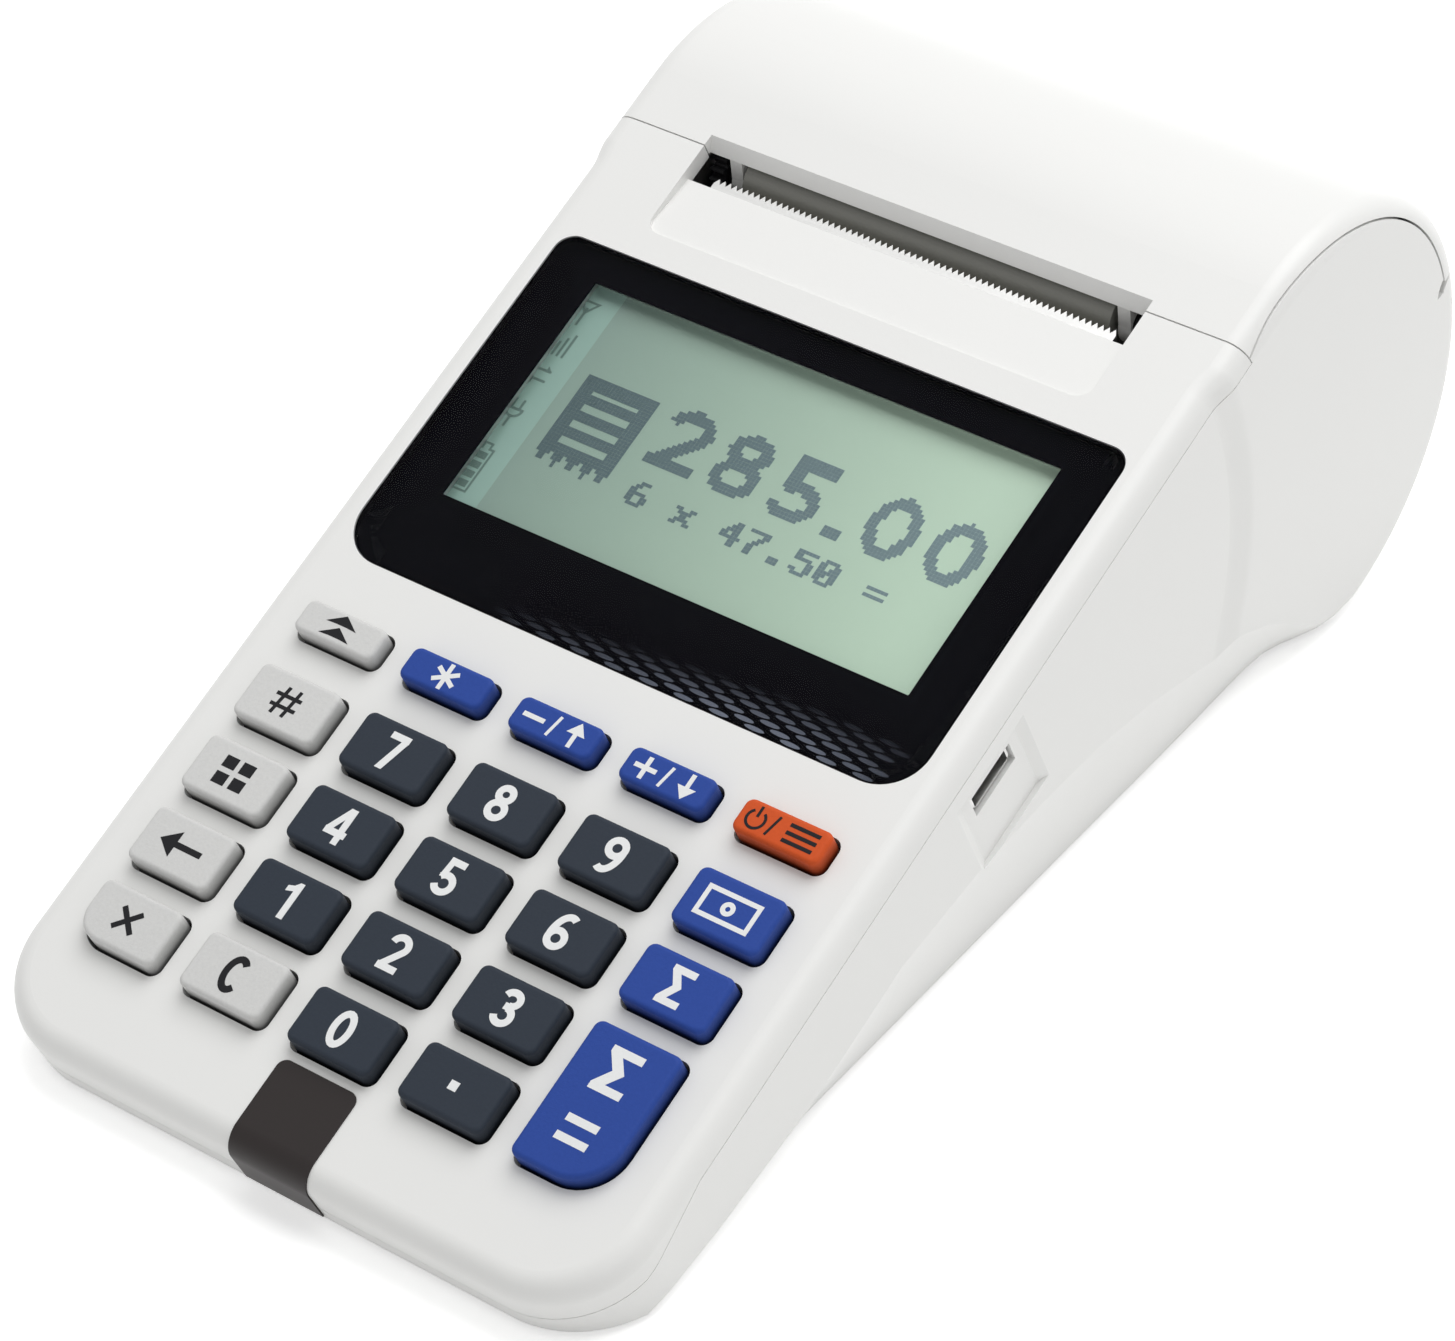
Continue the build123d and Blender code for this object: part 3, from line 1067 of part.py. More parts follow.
# --------------------------------------------------------------------------- main
def build():
    """All pieces by name."""
    outer, hull = envelope(), shell()
    roll, idler, pinion = phases()
    parts = {
        "upper_casing": upper_casing(hull),
        "lower_casing": lower_casing(hull, outer),
        "paper_lid": paper_lid(outer),
        "hinge_pins": hinge_pins(),
        "display_window": display_window(),
        "window_mask": window_mask(),
        "lcd_frame": lcd_frame(),
        "lcd_glass": lcd_glass(),
        "keypad_mat": keypad_mat(),
        "main_board": main_board(),
        "usb_socket": usb_socket(),
        "battery_pack": battery_pack(),
        "battery_cover": battery_cover(),
        "cover_screws": cover_screw_set(),
        "casing_screws": casing_screws(),
        "board_screws": board_screws(),
        "rubber_feet": rubber_feet(),
        "front_label": front_label(),
        "tear_bar": tear_bar(),
        "printer_chassis": printer_chassis(),
        "printer_screws": printer_screws(),
        "thermal_head": thermal_head(),
        "heat_sink": heat_sink(),
        "head_springs": head_springs(),
        "feed_motor": feed_motor(),
        "idler_pin": idler_pin(),
        "platen_shaft": platen_shaft(),
        "platen_rubber": platen_rubber(),
        "platen_bushes": platen_bushes(),
        "platen_gear": gear(ROLL_N, roll, (ROLL_S, -ROLL_DEPTH), SHAFT_R),
        "idler_gear": gear(IDLER_N, idler, idler_place(), IDLER_PIN_R + RUN_FIT),
        "motor_pinion": motor_pinion(pinion),
    }
    for name, x, s, d, radii in key_table():
        parts[name] = key(x, s, d, radii)
    return parts


if __name__ == "__main__":
    os.makedirs("parts", exist_ok=True)
    for node, solid in build().items():
        export_step(solid, "parts/" + node + ".step")
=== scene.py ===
"""Looks of a handheld till with a built-in receipt printer, built round its fixed frame."""
import json
import math

import bmesh
import bpy
from bpy.props import FloatProperty, FloatVectorProperty, IntProperty, PointerProperty, StringProperty
from mathutils import Matrix, Vector


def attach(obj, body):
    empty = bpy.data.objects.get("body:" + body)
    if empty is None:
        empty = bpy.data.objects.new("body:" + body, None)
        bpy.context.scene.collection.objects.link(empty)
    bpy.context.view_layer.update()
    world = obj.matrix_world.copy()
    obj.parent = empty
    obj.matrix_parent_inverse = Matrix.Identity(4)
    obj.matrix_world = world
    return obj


bl_info = {
    "name": "Ticket register looks",
    "version": (1, 0, 0),
    "blender": (4, 5, 0),
    "location": "3D View > Sidebar > Register",
    "description": "Dresses the ticket register in its finishes, prints and stage",
    "category": "Object",
}

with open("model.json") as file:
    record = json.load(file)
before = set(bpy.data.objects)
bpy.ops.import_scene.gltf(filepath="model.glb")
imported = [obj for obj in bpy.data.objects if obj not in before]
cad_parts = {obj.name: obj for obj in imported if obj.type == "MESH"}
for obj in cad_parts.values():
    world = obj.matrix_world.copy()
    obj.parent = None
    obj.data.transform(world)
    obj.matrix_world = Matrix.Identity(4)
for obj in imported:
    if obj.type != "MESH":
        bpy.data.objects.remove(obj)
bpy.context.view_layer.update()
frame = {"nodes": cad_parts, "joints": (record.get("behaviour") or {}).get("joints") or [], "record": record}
NODES = frame["nodes"]
MM = 0.001
ACROSS = Vector((1, 0, 0))
OUT = -Vector(next(j["axis"] for j in frame["joints"] if j["type"] == "slide")).normalized()
SLOPE = OUT.cross(ACROSS)
WHITE = (1.0, 1.0, 1.0, 1.0)
BLACK = (0.0, 0.0, 0.0, 1.0)


# ---- places
def panel_box(node):
    """Lowest and highest reach of a node across the panel, up its slope and out of it, in metres."""
    points = [v.co for v in NODES[node].data.vertices]
    return [(min(p.dot(d) for p in points), max(p.dot(d) for p in points)) for d in (ACROSS, SLOPE, OUT)]


def panel_matrix(x, s, w):
    """Places a drawing in millimetres on the panel with its middle at x, s, w."""
    turn = Matrix((ACROSS, SLOPE, OUT)).transposed().to_4x4()
    return turn @ Matrix.Translation((x, s, w)) @ Matrix.Scale(MM, 4)


def new_object(name, data):
    """An object in the scene."""
    made = bpy.data.objects.new(name, data)
    bpy.context.scene.collection.objects.link(made)
    return made


def add_piece(name, mesh, material, body):
    """Links a finished mesh, flat shaded, as a piece that rides on a body."""
    piece = new_object(name, mesh)
    if material:
        mesh.materials.clear()
        mesh.materials.append(material)
    for face in mesh.polygons:
        face.use_smooth = False
    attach(piece, body)


# ---- flat drawings
HAIR = 0.0004  # how far each part of a drawing stands above the part before it, in millimetres
# Stroke and widths of a figure and the gap to the next one, as shares of its height.
STROKE = 0.18
FIGURE_WIDTH = 0.61
POINT_WIDTH = 0.24
FIGURE_GAP = 0.16
# Figures one unit high: filled outlines, open lines, arcs (middle, radii, start and end in degrees, then further
# points) and closed loops (middle, radii).
FIGURES = {
    "0": [("loop", 0.305, 0.5, 0.215, 0.41)],
    "1": [("fill", (0.33, 0), (0.51, 0), (0.51, 1), (0.39, 1), (0.28, 0.88), (0.12, 0.83), (0.12, 0.68),
           (0.33, 0.74))],
    "2": [("arc", 0.305, 0.70, 0.215, 0.21, 172, -38, (0.12, 0.10)), ("line", (0.03, 0.09), (0.59, 0.09))],
    "3": [("arc", 0.30, 0.735, 0.20, 0.175, 165, -90), ("arc", 0.30, 0.295, 0.215, 0.205, 90, -165),
          ("line", (0.20, 0.53), (0.33, 0.53))],
    "4": [("line", (0.45, 0), (0.45, 1)), ("line", (0, 0.29), (0.62, 0.29)),
          ("fill", (0, 0.35), (0.19, 0.35), (0.40, 0.76), (0.40, 1), (0.34, 1))],
    "5": [("line", (0.10, 0.91), (0.56, 0.91)), ("fill", (0.06, 0.45), (0.23, 0.49), (0.26, 0.9), (0.10, 0.9)),
          ("arc", 0.285, 0.315, 0.225, 0.225, 140, -160)],
    "6": [("loop", 0.305, 0.30, 0.215, 0.21), ("arc", 0.40, 0.36, 0.31, 0.55, 180, 66)],
    "7": [("line", (0.03, 0.91), (0.58, 0.91)), ("fill", (0.12, 0), (0.32, 0), (0.58, 0.86), (0.39, 0.86))],
    "8": [("loop", 0.305, 0.735, 0.185, 0.175), ("loop", 0.305, 0.295, 0.215, 0.205)],
    "9": [("loop", 0.305, 0.70, 0.215, 0.21), ("arc", 0.21, 0.64, 0.31, 0.55, 0, -114)],
    "C": [("arc", 0.33, 0.5, 0.24, 0.41, 46, 314)],
    ".": [("line", (0.0, 0.1), (0.21, 0.1))],
    "Σ": [("fill", (0, 1), (0.64, 1), (0.64, 0.82), (0.26, 0.82), (0.47, 0.5), (0.26, 0.18), (0.64, 0.18),
           (0.64, 0), (0, 0), (0, 0.14), (0.23, 0.5), (0, 0.86))],
}


def arc_points(x, y, wide, tall, start, end, steps=24):
    """Points along an elliptical arc, in degrees."""
    turns = [math.radians(start + (end - start) * i / steps) for i in range(steps + 1)]
    return [(x + wide * math.cos(a), y + tall * math.sin(a)) for a in turns]


def ring_points(x, y, wide, tall):
    """Points once round an ellipse."""
    return arc_points(x, y, wide, tall, 0, 360)[:-1]


class Drawing:
    """A raised flat print, drawn in millimetres about its own centre."""

    def __init__(self, thick):
        self.mesh = bmesh.new()
        self.thick = thick

    def polygon(self, points):
        """One closed outline, raised to the print's thickness and a hair above the one before."""
        low = [self.mesh.verts.new((x, y, 0)) for x, y in points]
        high = [self.mesh.verts.new((x, y, self.thick)) for x, y in points]
        self.mesh.faces.new(high)
        self.mesh.faces.new(low[::-1])
        for i in range(len(points)):
            k = (i + 1) % len(points)
            self.mesh.faces.new((low[i], low[k], high[k], high[i]))
        self.thick += HAIR

    def ribbon(self, points, width, closed=False):
        """A mitred stroke of even width along points."""
        points = [Vector(p) for p in points]
        rows = []
        for i, point in enumerate(points):
            into = point - points[i - 1] if closed or i else points[1] - point
            onward = points[(i + 1) % len(points)] - point if closed or i + 1 < len(points) else into
            a, b = into.normalized(), onward.normalized()
            side = Vector((-a.y - b.y, a.x + b.x)).normalized()
            side *= width / 2 / max(0.5, side.dot(Vector((-a.y, a.x))))
            rows.append([self.mesh.verts.new((*(point + side * k), z))
                         for k, z in ((-1, 0), (1, 0), (1, self.thick), (-1, self.thick))])
        for one, two in zip(rows, rows[1:] + rows[:1] if closed else rows[1:]):
            for k in range(4):
                self.mesh.faces.new((one[k], one[(k + 1) % 4], two[(k + 1) % 4], two[k]))
        if not closed:
            self.mesh.faces.new(rows[0][::-1])
            self.mesh.faces.new(rows[-1])
        self.thick += HAIR

    def bar(self, x0, y0, x1, y1, width):
        """A straight stroke between two points."""
        self.ribbon([(x0, y0), (x1, y1)], width)

    def figure(self, sign, x, y, wide, tall, stroke):
        """One figure with its lower left corner at x, y."""
        for kind, *shape in FIGURES[sign]:
            if kind == "loop":
                shape = ring_points(*shape)
            elif kind == "arc":
                shape = arc_points(*shape[:6]) + shape[6:]
            placed = [(x + wide * u, y + tall * v) for u, v in shape]
            if kind == "fill":
                self.polygon(placed)
            else:
                self.ribbon(placed, stroke, kind == "loop")

    def words(self, text, tall, x=0.0, y=0.0, stretch=1.0):
        """A row of figures centred on x, y."""
        widths = [(POINT_WIDTH if sign == "." else FIGURE_WIDTH) * tall * stretch for sign in text]
        gap = FIGURE_GAP * tall
        at = x - (sum(widths) + gap * (len(text) - 1)) / 2
        for sign, width in zip(text, widths):
            self.figure(sign, at, y - tall / 2, tall * stretch, tall, STROKE * tall)
            at += width + gap

    def into_mesh(self, name):
        """Ends the drawing as a mesh of its own."""
        mesh = bpy.data.meshes.new(name)
        self.mesh.to_mesh(mesh)
        self.mesh.free()
        return mesh

    def finish(self, name, place, material, body):
        """Turns the drawing into a piece at its place."""
        bmesh.ops.recalc_face_normals(self.mesh, faces=self.mesh.faces)
        mesh = self.into_mesh(name)
        mesh.transform(place)
        add_piece(name, mesh, material, body)


# ---- shader groups
COARSE_SCALE = 0.31  # scale of the coarse grain, as a share of the fine grain's
FINE_SHARE = 0.65  # the fine grain's share of the relief
# Scales of the noises that are the same in every finish, per metre.
SLOW_SHEEN = 38.0
SLOW_TONE = 22.0
FINE_TONE = 2600.0


def place_node(tree, kind, sockets=None, **settings):
    """Adds a node with its settings and socket values."""
    made = tree.nodes.new(kind)
    for key, value in settings.items():
        setattr(made, key, value)
    for key, value in (sockets or {}).items():
        made.inputs[key].default_value = value
    return made


def new_group(name, ins, outs):
    """A shader group with named inputs and outputs; returns the tree and its two end nodes."""
    tree = bpy.data.node_groups.new(name, "ShaderNodeTree")
    for label, kind, value in ins:
        socket = tree.interface.new_socket(label, in_out="INPUT", socket_type="NodeSocket" + kind)
        if value is not None:
            socket.default_value = value
    for label, kind in outs:
        tree.interface.new_socket(label, in_out="OUTPUT", socket_type="NodeSocket" + kind)
    return tree, tree.nodes.new("NodeGroupInput"), tree.nodes.new("NodeGroupOutput")


def noise(tree, vector, scale, detail, rough=0.5):
    """A noise texture fed by a vector and a scale socket or number."""
    made = place_node(tree, "ShaderNodeTexNoise", {"Detail": detail, "Roughness": rough})
    tree.links.new(vector, made.inputs["Vector"])
    if isinstance(scale, (int, float)):
        made.inputs["Scale"].default_value = scale
    else:
        tree.links.new(scale, made.inputs["Scale"])
    return made.outputs["Fac"]


def sums(tree, operation, a, b):
    """A maths node on two sockets or numbers."""
    made = place_node(tree, "ShaderNodeMath", operation=operation)
    for i, value in enumerate((a, b)):
        if isinstance(value, (int, float)):
            made.inputs[i].default_value = value
        else:
            tree.links.new(value, made.inputs[i])
    return made.outputs[0]


def ramp(tree, value, low, high, out_low=0.0, out_high=1.0):
    """Maps a value's range onto another, clamped."""
    made = place_node(tree, "ShaderNodeMapRange")
    for label, number in (("From Min", low), ("From Max", high), ("To Min", out_low), ("To Max", out_high)):
        made.inputs[label].default_value = number
    tree.links.new(value, made.inputs["Value"])
    return made.outputs["Result"]


def mixed(tree, factor, a, b):
    """Mixes two colours by a factor; each is a socket or a colour."""
    made = place_node(tree, "ShaderNodeMix", data_type="RGBA")
    for index, value in ((0, factor), (6, a), (7, b)):
        if hasattr(value, "is_output"):
            tree.links.new(value, made.inputs[index])
        else:
            made.inputs[index].default_value = value
    return made.outputs[2]


def vector_of(tree, x, y, z):
    """A vector of three sockets or numbers."""
    made = tree.nodes.new("ShaderNodeCombineXYZ")
    for label, value in (("X", x), ("Y", y), ("Z", z)):
        if isinstance(value, float):
            made.inputs[label].default_value = value
        else:
            tree.links.new(value, made.inputs[label])
    return made.outputs[0]


def swing(tree, value, reach):
    """A value from nought to one, made to swing about nought over a reach."""
    return sums(tree, "MULTIPLY", sums(tree, "SUBTRACT", value, 0.5), reach)


def grain_group():
    """Eroded mould texture: fine relief and a roughness that drifts slowly."""
    ins = [("Vector", "Vector", None), ("Grain", "Float", 4000.0), ("Roughness", "Float", 0.4),
           ("Drift", "Float", 0.06)]
    outs = [("Height", "Float"), ("Roughness", "Float")]
    tree, start, end = new_group("Moulded grain", ins, outs)
    given = start.outputs
    fine = noise(tree, given["Vector"], given["Grain"], 2.0, 0.6)
    coarse = noise(tree, given["Vector"], sums(tree, "MULTIPLY", given["Grain"], COARSE_SCALE), 1.0)
    height = sums(tree, "ADD", sums(tree, "MULTIPLY", fine, FINE_SHARE),
                  sums(tree, "MULTIPLY", coarse, 1.0 - FINE_SHARE))
    shift = swing(tree, noise(tree, given["Vector"], SLOW_SHEEN, 3.0), given["Drift"])
    tree.links.new(height, end.inputs["Height"])
    tree.links.new(sums(tree, "ADD", given["Roughness"], shift), end.inputs["Roughness"])
    return tree


def tone_group():
    """Slow drift of a colour's tone with a trace of fine speckle."""
    ins = [("Vector", "Vector", None), ("Color", "Color", None), ("Drift", "Float", 0.04),
           ("Speckle", "Float", 0.02)]
    tree, start, end = new_group("Tone drift", ins, [("Color", "Color")])
    given = start.outputs
    down = swing(tree, noise(tree, given["Vector"], SLOW_TONE, 2.0), given["Drift"])
    dots = swing(tree, noise(tree, given["Vector"], FINE_TONE, 2.0, 0.7), given["Speckle"])
    level = sums(tree, "ADD", sums(tree, "ADD", down, dots), 1.0)
    scaled = place_node(tree, "ShaderNodeVectorMath", operation="SCALE")
    tree.links.new(given["Color"], scaled.inputs[0])
    tree.links.new(level, scaled.inputs["Scale"])
    tree.links.new(scaled.outputs[0], end.inputs["Color"])
    return tree


def drawn_group():
    """Fine streaks of drawn or brushed sheet along one direction."""
    ins = [("Vector", "Vector", None), ("Stretch", "Vector", (1.0, 1.0, 1.0)), ("Roughness", "Float", 0.3),
           ("Spread", "Float", 0.2)]
    outs = [("Height", "Float"), ("Roughness", "Float")]
    tree, start, end = new_group("Drawn streaks", ins, outs)
    scaled = place_node(tree, "ShaderNodeVectorMath", operation="MULTIPLY")
    tree.links.new(start.outputs["Vector"], scaled.inputs[0])
    tree.links.new(start.outputs["Stretch"], scaled.inputs[1])
    streak = noise(tree, scaled.outputs[0], 1.0, 4.0, 0.7)
    shift = swing(tree, streak, start.outputs["Spread"])
    tree.links.new(streak, end.inputs["Height"])
    tree.links.new(sums(tree, "ADD", start.outputs["Roughness"], shift), end.inputs["Roughness"])
    return tree


# ---- materials
# Places are in metres from the frame's origin.
PAINTED_SHADE_TO_LIGHT = (-0.036, 0.027)  # across: from the painted shade on the display's left to the painted light on its right
STRIP_EDGE = (-0.0307, -0.0306)  # across: right edge of the strip behind the icons
SKIRT_SHADE_SPAN = (0.0402, 0.0426)  # out of the panel: from the foot of the keys' skirts to their shoulders, the span of their painted shade
SKIRT_SHADE_FOOT = 0.15  # brightness of the painted shade at the foot of a skirt, as a share
RIM_CORNERS = (0.006, 0.0026)  # corner radii of the window at its foot and at its head
RIM_WIDTH = 0.0001
WINDOW_IOR = 1.12
OVAL_FULL = 0.0009  # how far up from the foot of the window's border the ovals stay at full strength
OVAL_DEPTH = 0.0036  # how far they take to fade above that, in the middle of the panel
OVAL_SPREAD = 0.085  # how much further they take for each metre to the right
OVAL_FALL = 1.4  # powers that bend the fade, upward and to the left
OVAL_ENTRY = 1.3
OVAL_LEFT = (-0.022, 0.016)  # across: where they come in, and where they thin out to their right end
OVAL_RIGHT = (0.026, 0.040)
OVAL_END = 0.35  # strength at the right end, as a share

# Finishes by material slot: the material's name, its colour or the property that sets it, its roughness, further
# sockets, the tone's drift and speckle, and the grain: scale per metre, drift of the roughness, relief's strength
# and its depth in metres.
MOULDED = {
    "casing_plastic": ("casing_satin", "casing", 0.38, {"Specular IOR Level": 0.5}, (0.012, 0.012),
                       (5200.0, 0.05, 0.16, 0.00004)),
    "gear_plastic": ("gear_black", (0.008, 0.008, 0.009), 0.5, {"Specular IOR Level": 0.15}, (0.05, 0.02),
                     (3000.0, 0.1, 0.1, 0.00003)),
    "battery": ("battery_film", (0.03, 0.045, 0.16), 0.3, {}, (0.12, 0.03), (260.0, 0.15, 0.35, 0.0002)),
    "label": ("label_film", "label", 0.42, {"Specular IOR Level": 0.3}, (0.1, 0.1), (3400.0, 0.1, 0.12, 0.00003)),
    "mat_rubber": ("mat_silicone", (0.6, 0.6, 0.57), 0.55, {}, (0.05, 0.05), (2000.0, 0.1, 0.3, 0.00006)),
    "black_rubber": ("foot_rubber", (0.025, 0.025, 0.026), 0.75, {}, (0.2, 0.3), (1500.0, 0.1, 0.5, 0.0001)),
    "roller_rubber": ("roller_rubber", "roller", 0.45, {}, (0.16, 0.12), (2600.0, 0.1, 0.5, 0.00007)),
    "ceramic": ("glazed_ceramic", (0.66, 0.6, 0.5), 0.22, {"Coat Weight": 0.3}, (0.08, 0.05), None),
    "window_print": ("window_black", "window", 0.35, {"Specular IOR Level": 0.0}, (0.2, 0.1),
                     (900.0, 0.05, 0.05, 0.00002)),
    "board": ("board_mask", (0.02, 0.13, 0.06), 0.3, {"Coat Weight": 0.4}, (0.25, 0.15),
              (700.0, 0.1, 0.2, 0.00005)),
}
# The same for metal sheet, with streaks in place of the grain, whose scale is given along each axis.
SHEET = {
    "steel": ("drawn_steel", "steel", 0.32, {"Metallic": 1.0}, (0.08, 0.04),
              ((90.0, 2600.0, 2600.0), 0.22, 0.25, 0.00003)),
    "aluminium": ("plain_aluminium", (0.72, 0.73, 0.74), 0.36, {"Metallic": 1.0}, (0.06, 0.03),
                  ((60.0, 1800.0, 1800.0), 0.2, 0.25, 0.00003)),
}
KEYS = ("key_grey", "key_blue", "key_orange", "key_dark")
# The same from the roughness on, for the keys and for the display's face.
KEY_LOOK = (0.6, {"Specular IOR Level": 0.16}, (0.05, 0.16), (2300.0, 0.1, 0.55, 0.00009))
DISPLAY_LOOK = (0.4, {}, (0.03, 0.03), (1800.0, 0.04, 0.1, 0.00003))
# Inks: the property of the colour, the roughness and the specular level.
INKS = {"white": ("ink_white", 0.5, 0.15), "black": ("ink_black", 0.5, 0.15), "liquid": ("liquid", 0.45, 0.15),
        "icon": ("liquid_icon", 0.45, 0.15), "oval": ("oval", 0.42, 0.0)}
INK_TONE = (0.04, 0.08)
INK_GRAIN = (3000.0, 0.06, 0.2, 0.00003)


def rgba(colour):
    """A colour with full alpha."""
    return (*tuple(colour)[:3], 1.0)


class Finish:
    """One material being built: a Principled shader, object coordinates and group helpers."""

    def __init__(self, name, colour, rough, sockets):
        self.material = bpy.data.materials.new(name)
        self.material.use_nodes = True
        self.tree = self.material.node_tree
        self.tree.nodes.clear()
        surface = self.tree.nodes.new("ShaderNodeOutputMaterial").inputs["Surface"]
        self.shader = self.tree.nodes.new("ShaderNodeBsdfPrincipled")
        self.link = self.tree.links.new
        self.link(self.shader.outputs[0], surface)
        self.where = self.tree.nodes.new("ShaderNodeTexCoord").outputs["Object"]
        self.colour, self.rough = rgba(colour), rough
        for key, value in {"Base Color": self.colour, "Roughness": rough, **sockets}.items():
            self.shader.inputs[key].default_value = value

    def group(self, tree, **values):
        """Places a shader group with its own values."""
        made = place_node(self.tree, "ShaderNodeGroup", node_tree=tree)
        self.link(self.where, made.inputs["Vector"])
        for key, value in values.items():
            made.inputs[key].default_value = value
        return made

    def panel_place(self):
        """Where a point lies across the panel, up its slope and out of it, in metres."""
        made = []
        for direction in (ACROSS, SLOPE, OUT):
            dot = place_node(self.tree, "ShaderNodeVectorMath", {1: tuple(direction)}, operation="DOT_PRODUCT")
            self.link(self.where, dot.inputs[0])
            made.append(dot.outputs["Value"])
        return made

    def textured(self, tree, strength, distance, **values):
        """Roughness and relief from a group."""
        made = self.group(tree, Roughness=self.rough, **values)
        self.link(made.outputs["Roughness"], self.shader.inputs["Roughness"])
        bump = place_node(self.tree, "ShaderNodeBump", {"Strength": strength, "Distance": distance})
        self.link(made.outputs["Height"], bump.inputs["Height"])
        self.link(bump.outputs[0], self.shader.inputs["Normal"])

    def grained(self, tree, grain, drift, strength, distance):
        """Mould grain on roughness and relief."""
        self.textured(tree, strength, distance, Grain=grain, Drift=drift)

    def toned(self, tree, drift, speckle, colour=None):
        """Tone drift on the base colour."""
        made = self.group(tree, Drift=drift, Speckle=speckle)
        if colour is None:
            made.inputs["Color"].default_value = self.colour
        else:
            self.link(colour, made.inputs["Color"])
        self.link(made.outputs["Color"], self.shader.inputs["Base Color"])

    def drawn(self, tree, stretch, spread, strength, distance):
        """Drawn streaks on roughness and relief."""
        self.textured(tree, strength, distance, Stretch=stretch, Spread=spread)


def make_plain(look, grain, drawn, tone):
    """Every finish that needs no more than its tone, and its grain or streaks."""
    made = {}
    for slot, (name, colour, rough, sockets, tones, relief) in (*MOULDED.items(), *SHEET.items()):
        finish = Finish(name, getattr(look, colour) if isinstance(colour, str) else colour, rough, sockets)
        finish.toned(tone, *tones)
        if slot in SHEET:
            finish.drawn(drawn, *relief)
        elif relief:
            finish.grained(grain, *relief)
        made[slot] = finish
    return made


def make_keys(look, grain, tone):
    """The keys' rubber, with painted shade that darkens the skirts toward their feet."""
    rough, sockets, tones, relief = KEY_LOOK
    made = {}
    for slot in KEYS:
        key = Finish(slot + "_matt", getattr(look, slot), rough, sockets)
        # painted shade: each key's skirt darkens toward the panel, where shade falls in the gap
        shade = ramp(key.tree, key.panel_place()[2], *SKIRT_SHADE_SPAN, SKIRT_SHADE_FOOT, 1.0)
        key.toned(tone, *tones, mixed(key.tree, shade, BLACK, key.colour))
        key.grained(grain, *relief)
        made[slot] = key
    return made


def rim_mask(finish, node):
    """One on the rounded rim of a flat node, nought further in."""
    across, up, _ = finish.panel_place()
    (x0, x1), (s0, s1), _ = panel_box(node)
    tree = finish.tree
    middle = (s0 + s1) / 2
    radius = ramp(tree, up, middle - MM, middle + MM, *RIM_CORNERS)
    beyond = []
    for value, low, high in ((across, x0, x1), (up, s0, s1)):
        off = sums(tree, "ABSOLUTE", sums(tree, "SUBTRACT", value, (low + high) / 2), 0.0)
        past = sums(tree, "ADD", sums(tree, "SUBTRACT", off, (high - low) / 2), radius)
        beyond.append(sums(tree, "MAXIMUM", past, 0.0))
    length = place_node(tree, "ShaderNodeVectorMath", operation="LENGTH")
    finish.link(vector_of(tree, *beyond, 0.0), length.inputs[0])
    return ramp(tree, sums(tree, "SUBTRACT", length.outputs["Value"], radius), -2 * RIM_WIDTH, -RIM_WIDTH)


def make_window(look):
    """The clear window: glass from outside, open to light and from within, and black on its rim."""
    glass = Finish("window_clear", WHITE, 0.03, {"Transmission Weight": 1.0, "IOR": WINDOW_IOR})
    tree = glass.tree
    path = tree.nodes.new("ShaderNodeLightPath")
    inner = tree.nodes.new("ShaderNodeNewGeometry").outputs["Backfacing"]
    passed = sums(tree, "MAXIMUM", path.outputs["Is Shadow Ray"], path.outputs["Is Diffuse Ray"])
    front = sums(tree, "SUBTRACT", 1.0, sums(tree, "MAXIMUM", passed, inner))
    rim = rim_mask(glass, "display_window")
    glass.link(sums(tree, "MAXIMUM", rim, front), glass.shader.inputs["Alpha"])
    glass.link(mixed(tree, rim, WHITE, rgba(look.window)), glass.shader.inputs["Base Color"])
    return glass


def make_display(look, grain, tone):
    """The display's face: painted shade on the left fading to painted light on the right, with a strip behind the
    icons.
    """
    rough, sockets, tones, relief = DISPLAY_LOOK
    face = Finish("display_face", look.display, rough, sockets)
    across = face.panel_place()[0]
    # painted shade and light: the face darkens toward the left and brightens toward the right
    lit = ramp(face.tree, across, *PAINTED_SHADE_TO_LIGHT)
    matrix = mixed(face.tree, lit, rgba(look.display_painted_shade), rgba(look.display))
    past_strip = ramp(face.tree, across, *STRIP_EDGE)
    face.toned(tone, *tones, mixed(face.tree, past_strip, rgba(look.display_strip), matrix))
    face.grained(grain, *relief)
    return face


def make_inks(look, grain, tone):
    """Inks that have no node of their own."""
    made = {}
    for name, (colour, rough, specular) in INKS.items():
        ink = Finish("ink_" + name, getattr(look, colour), rough, {"Specular IOR Level": specular})
        painted = None
        if name == "liquid":
            # painted shade: the lit dots darken toward the left, as on the display's face
            lit = ramp(ink.tree, ink.panel_place()[0], *PAINTED_SHADE_TO_LIGHT)
            painted = mixed(ink.tree, lit, rgba(look.liquid_painted_shade), ink.colour)
        if name == "oval":
            painted = mixed(ink.tree, oval_fade(ink), rgba(look.window), ink.colour)
        ink.toned(tone, *INK_TONE, painted)
        ink.grained(grain, *INK_GRAIN)
        made["ink_" + name] = ink
    return made


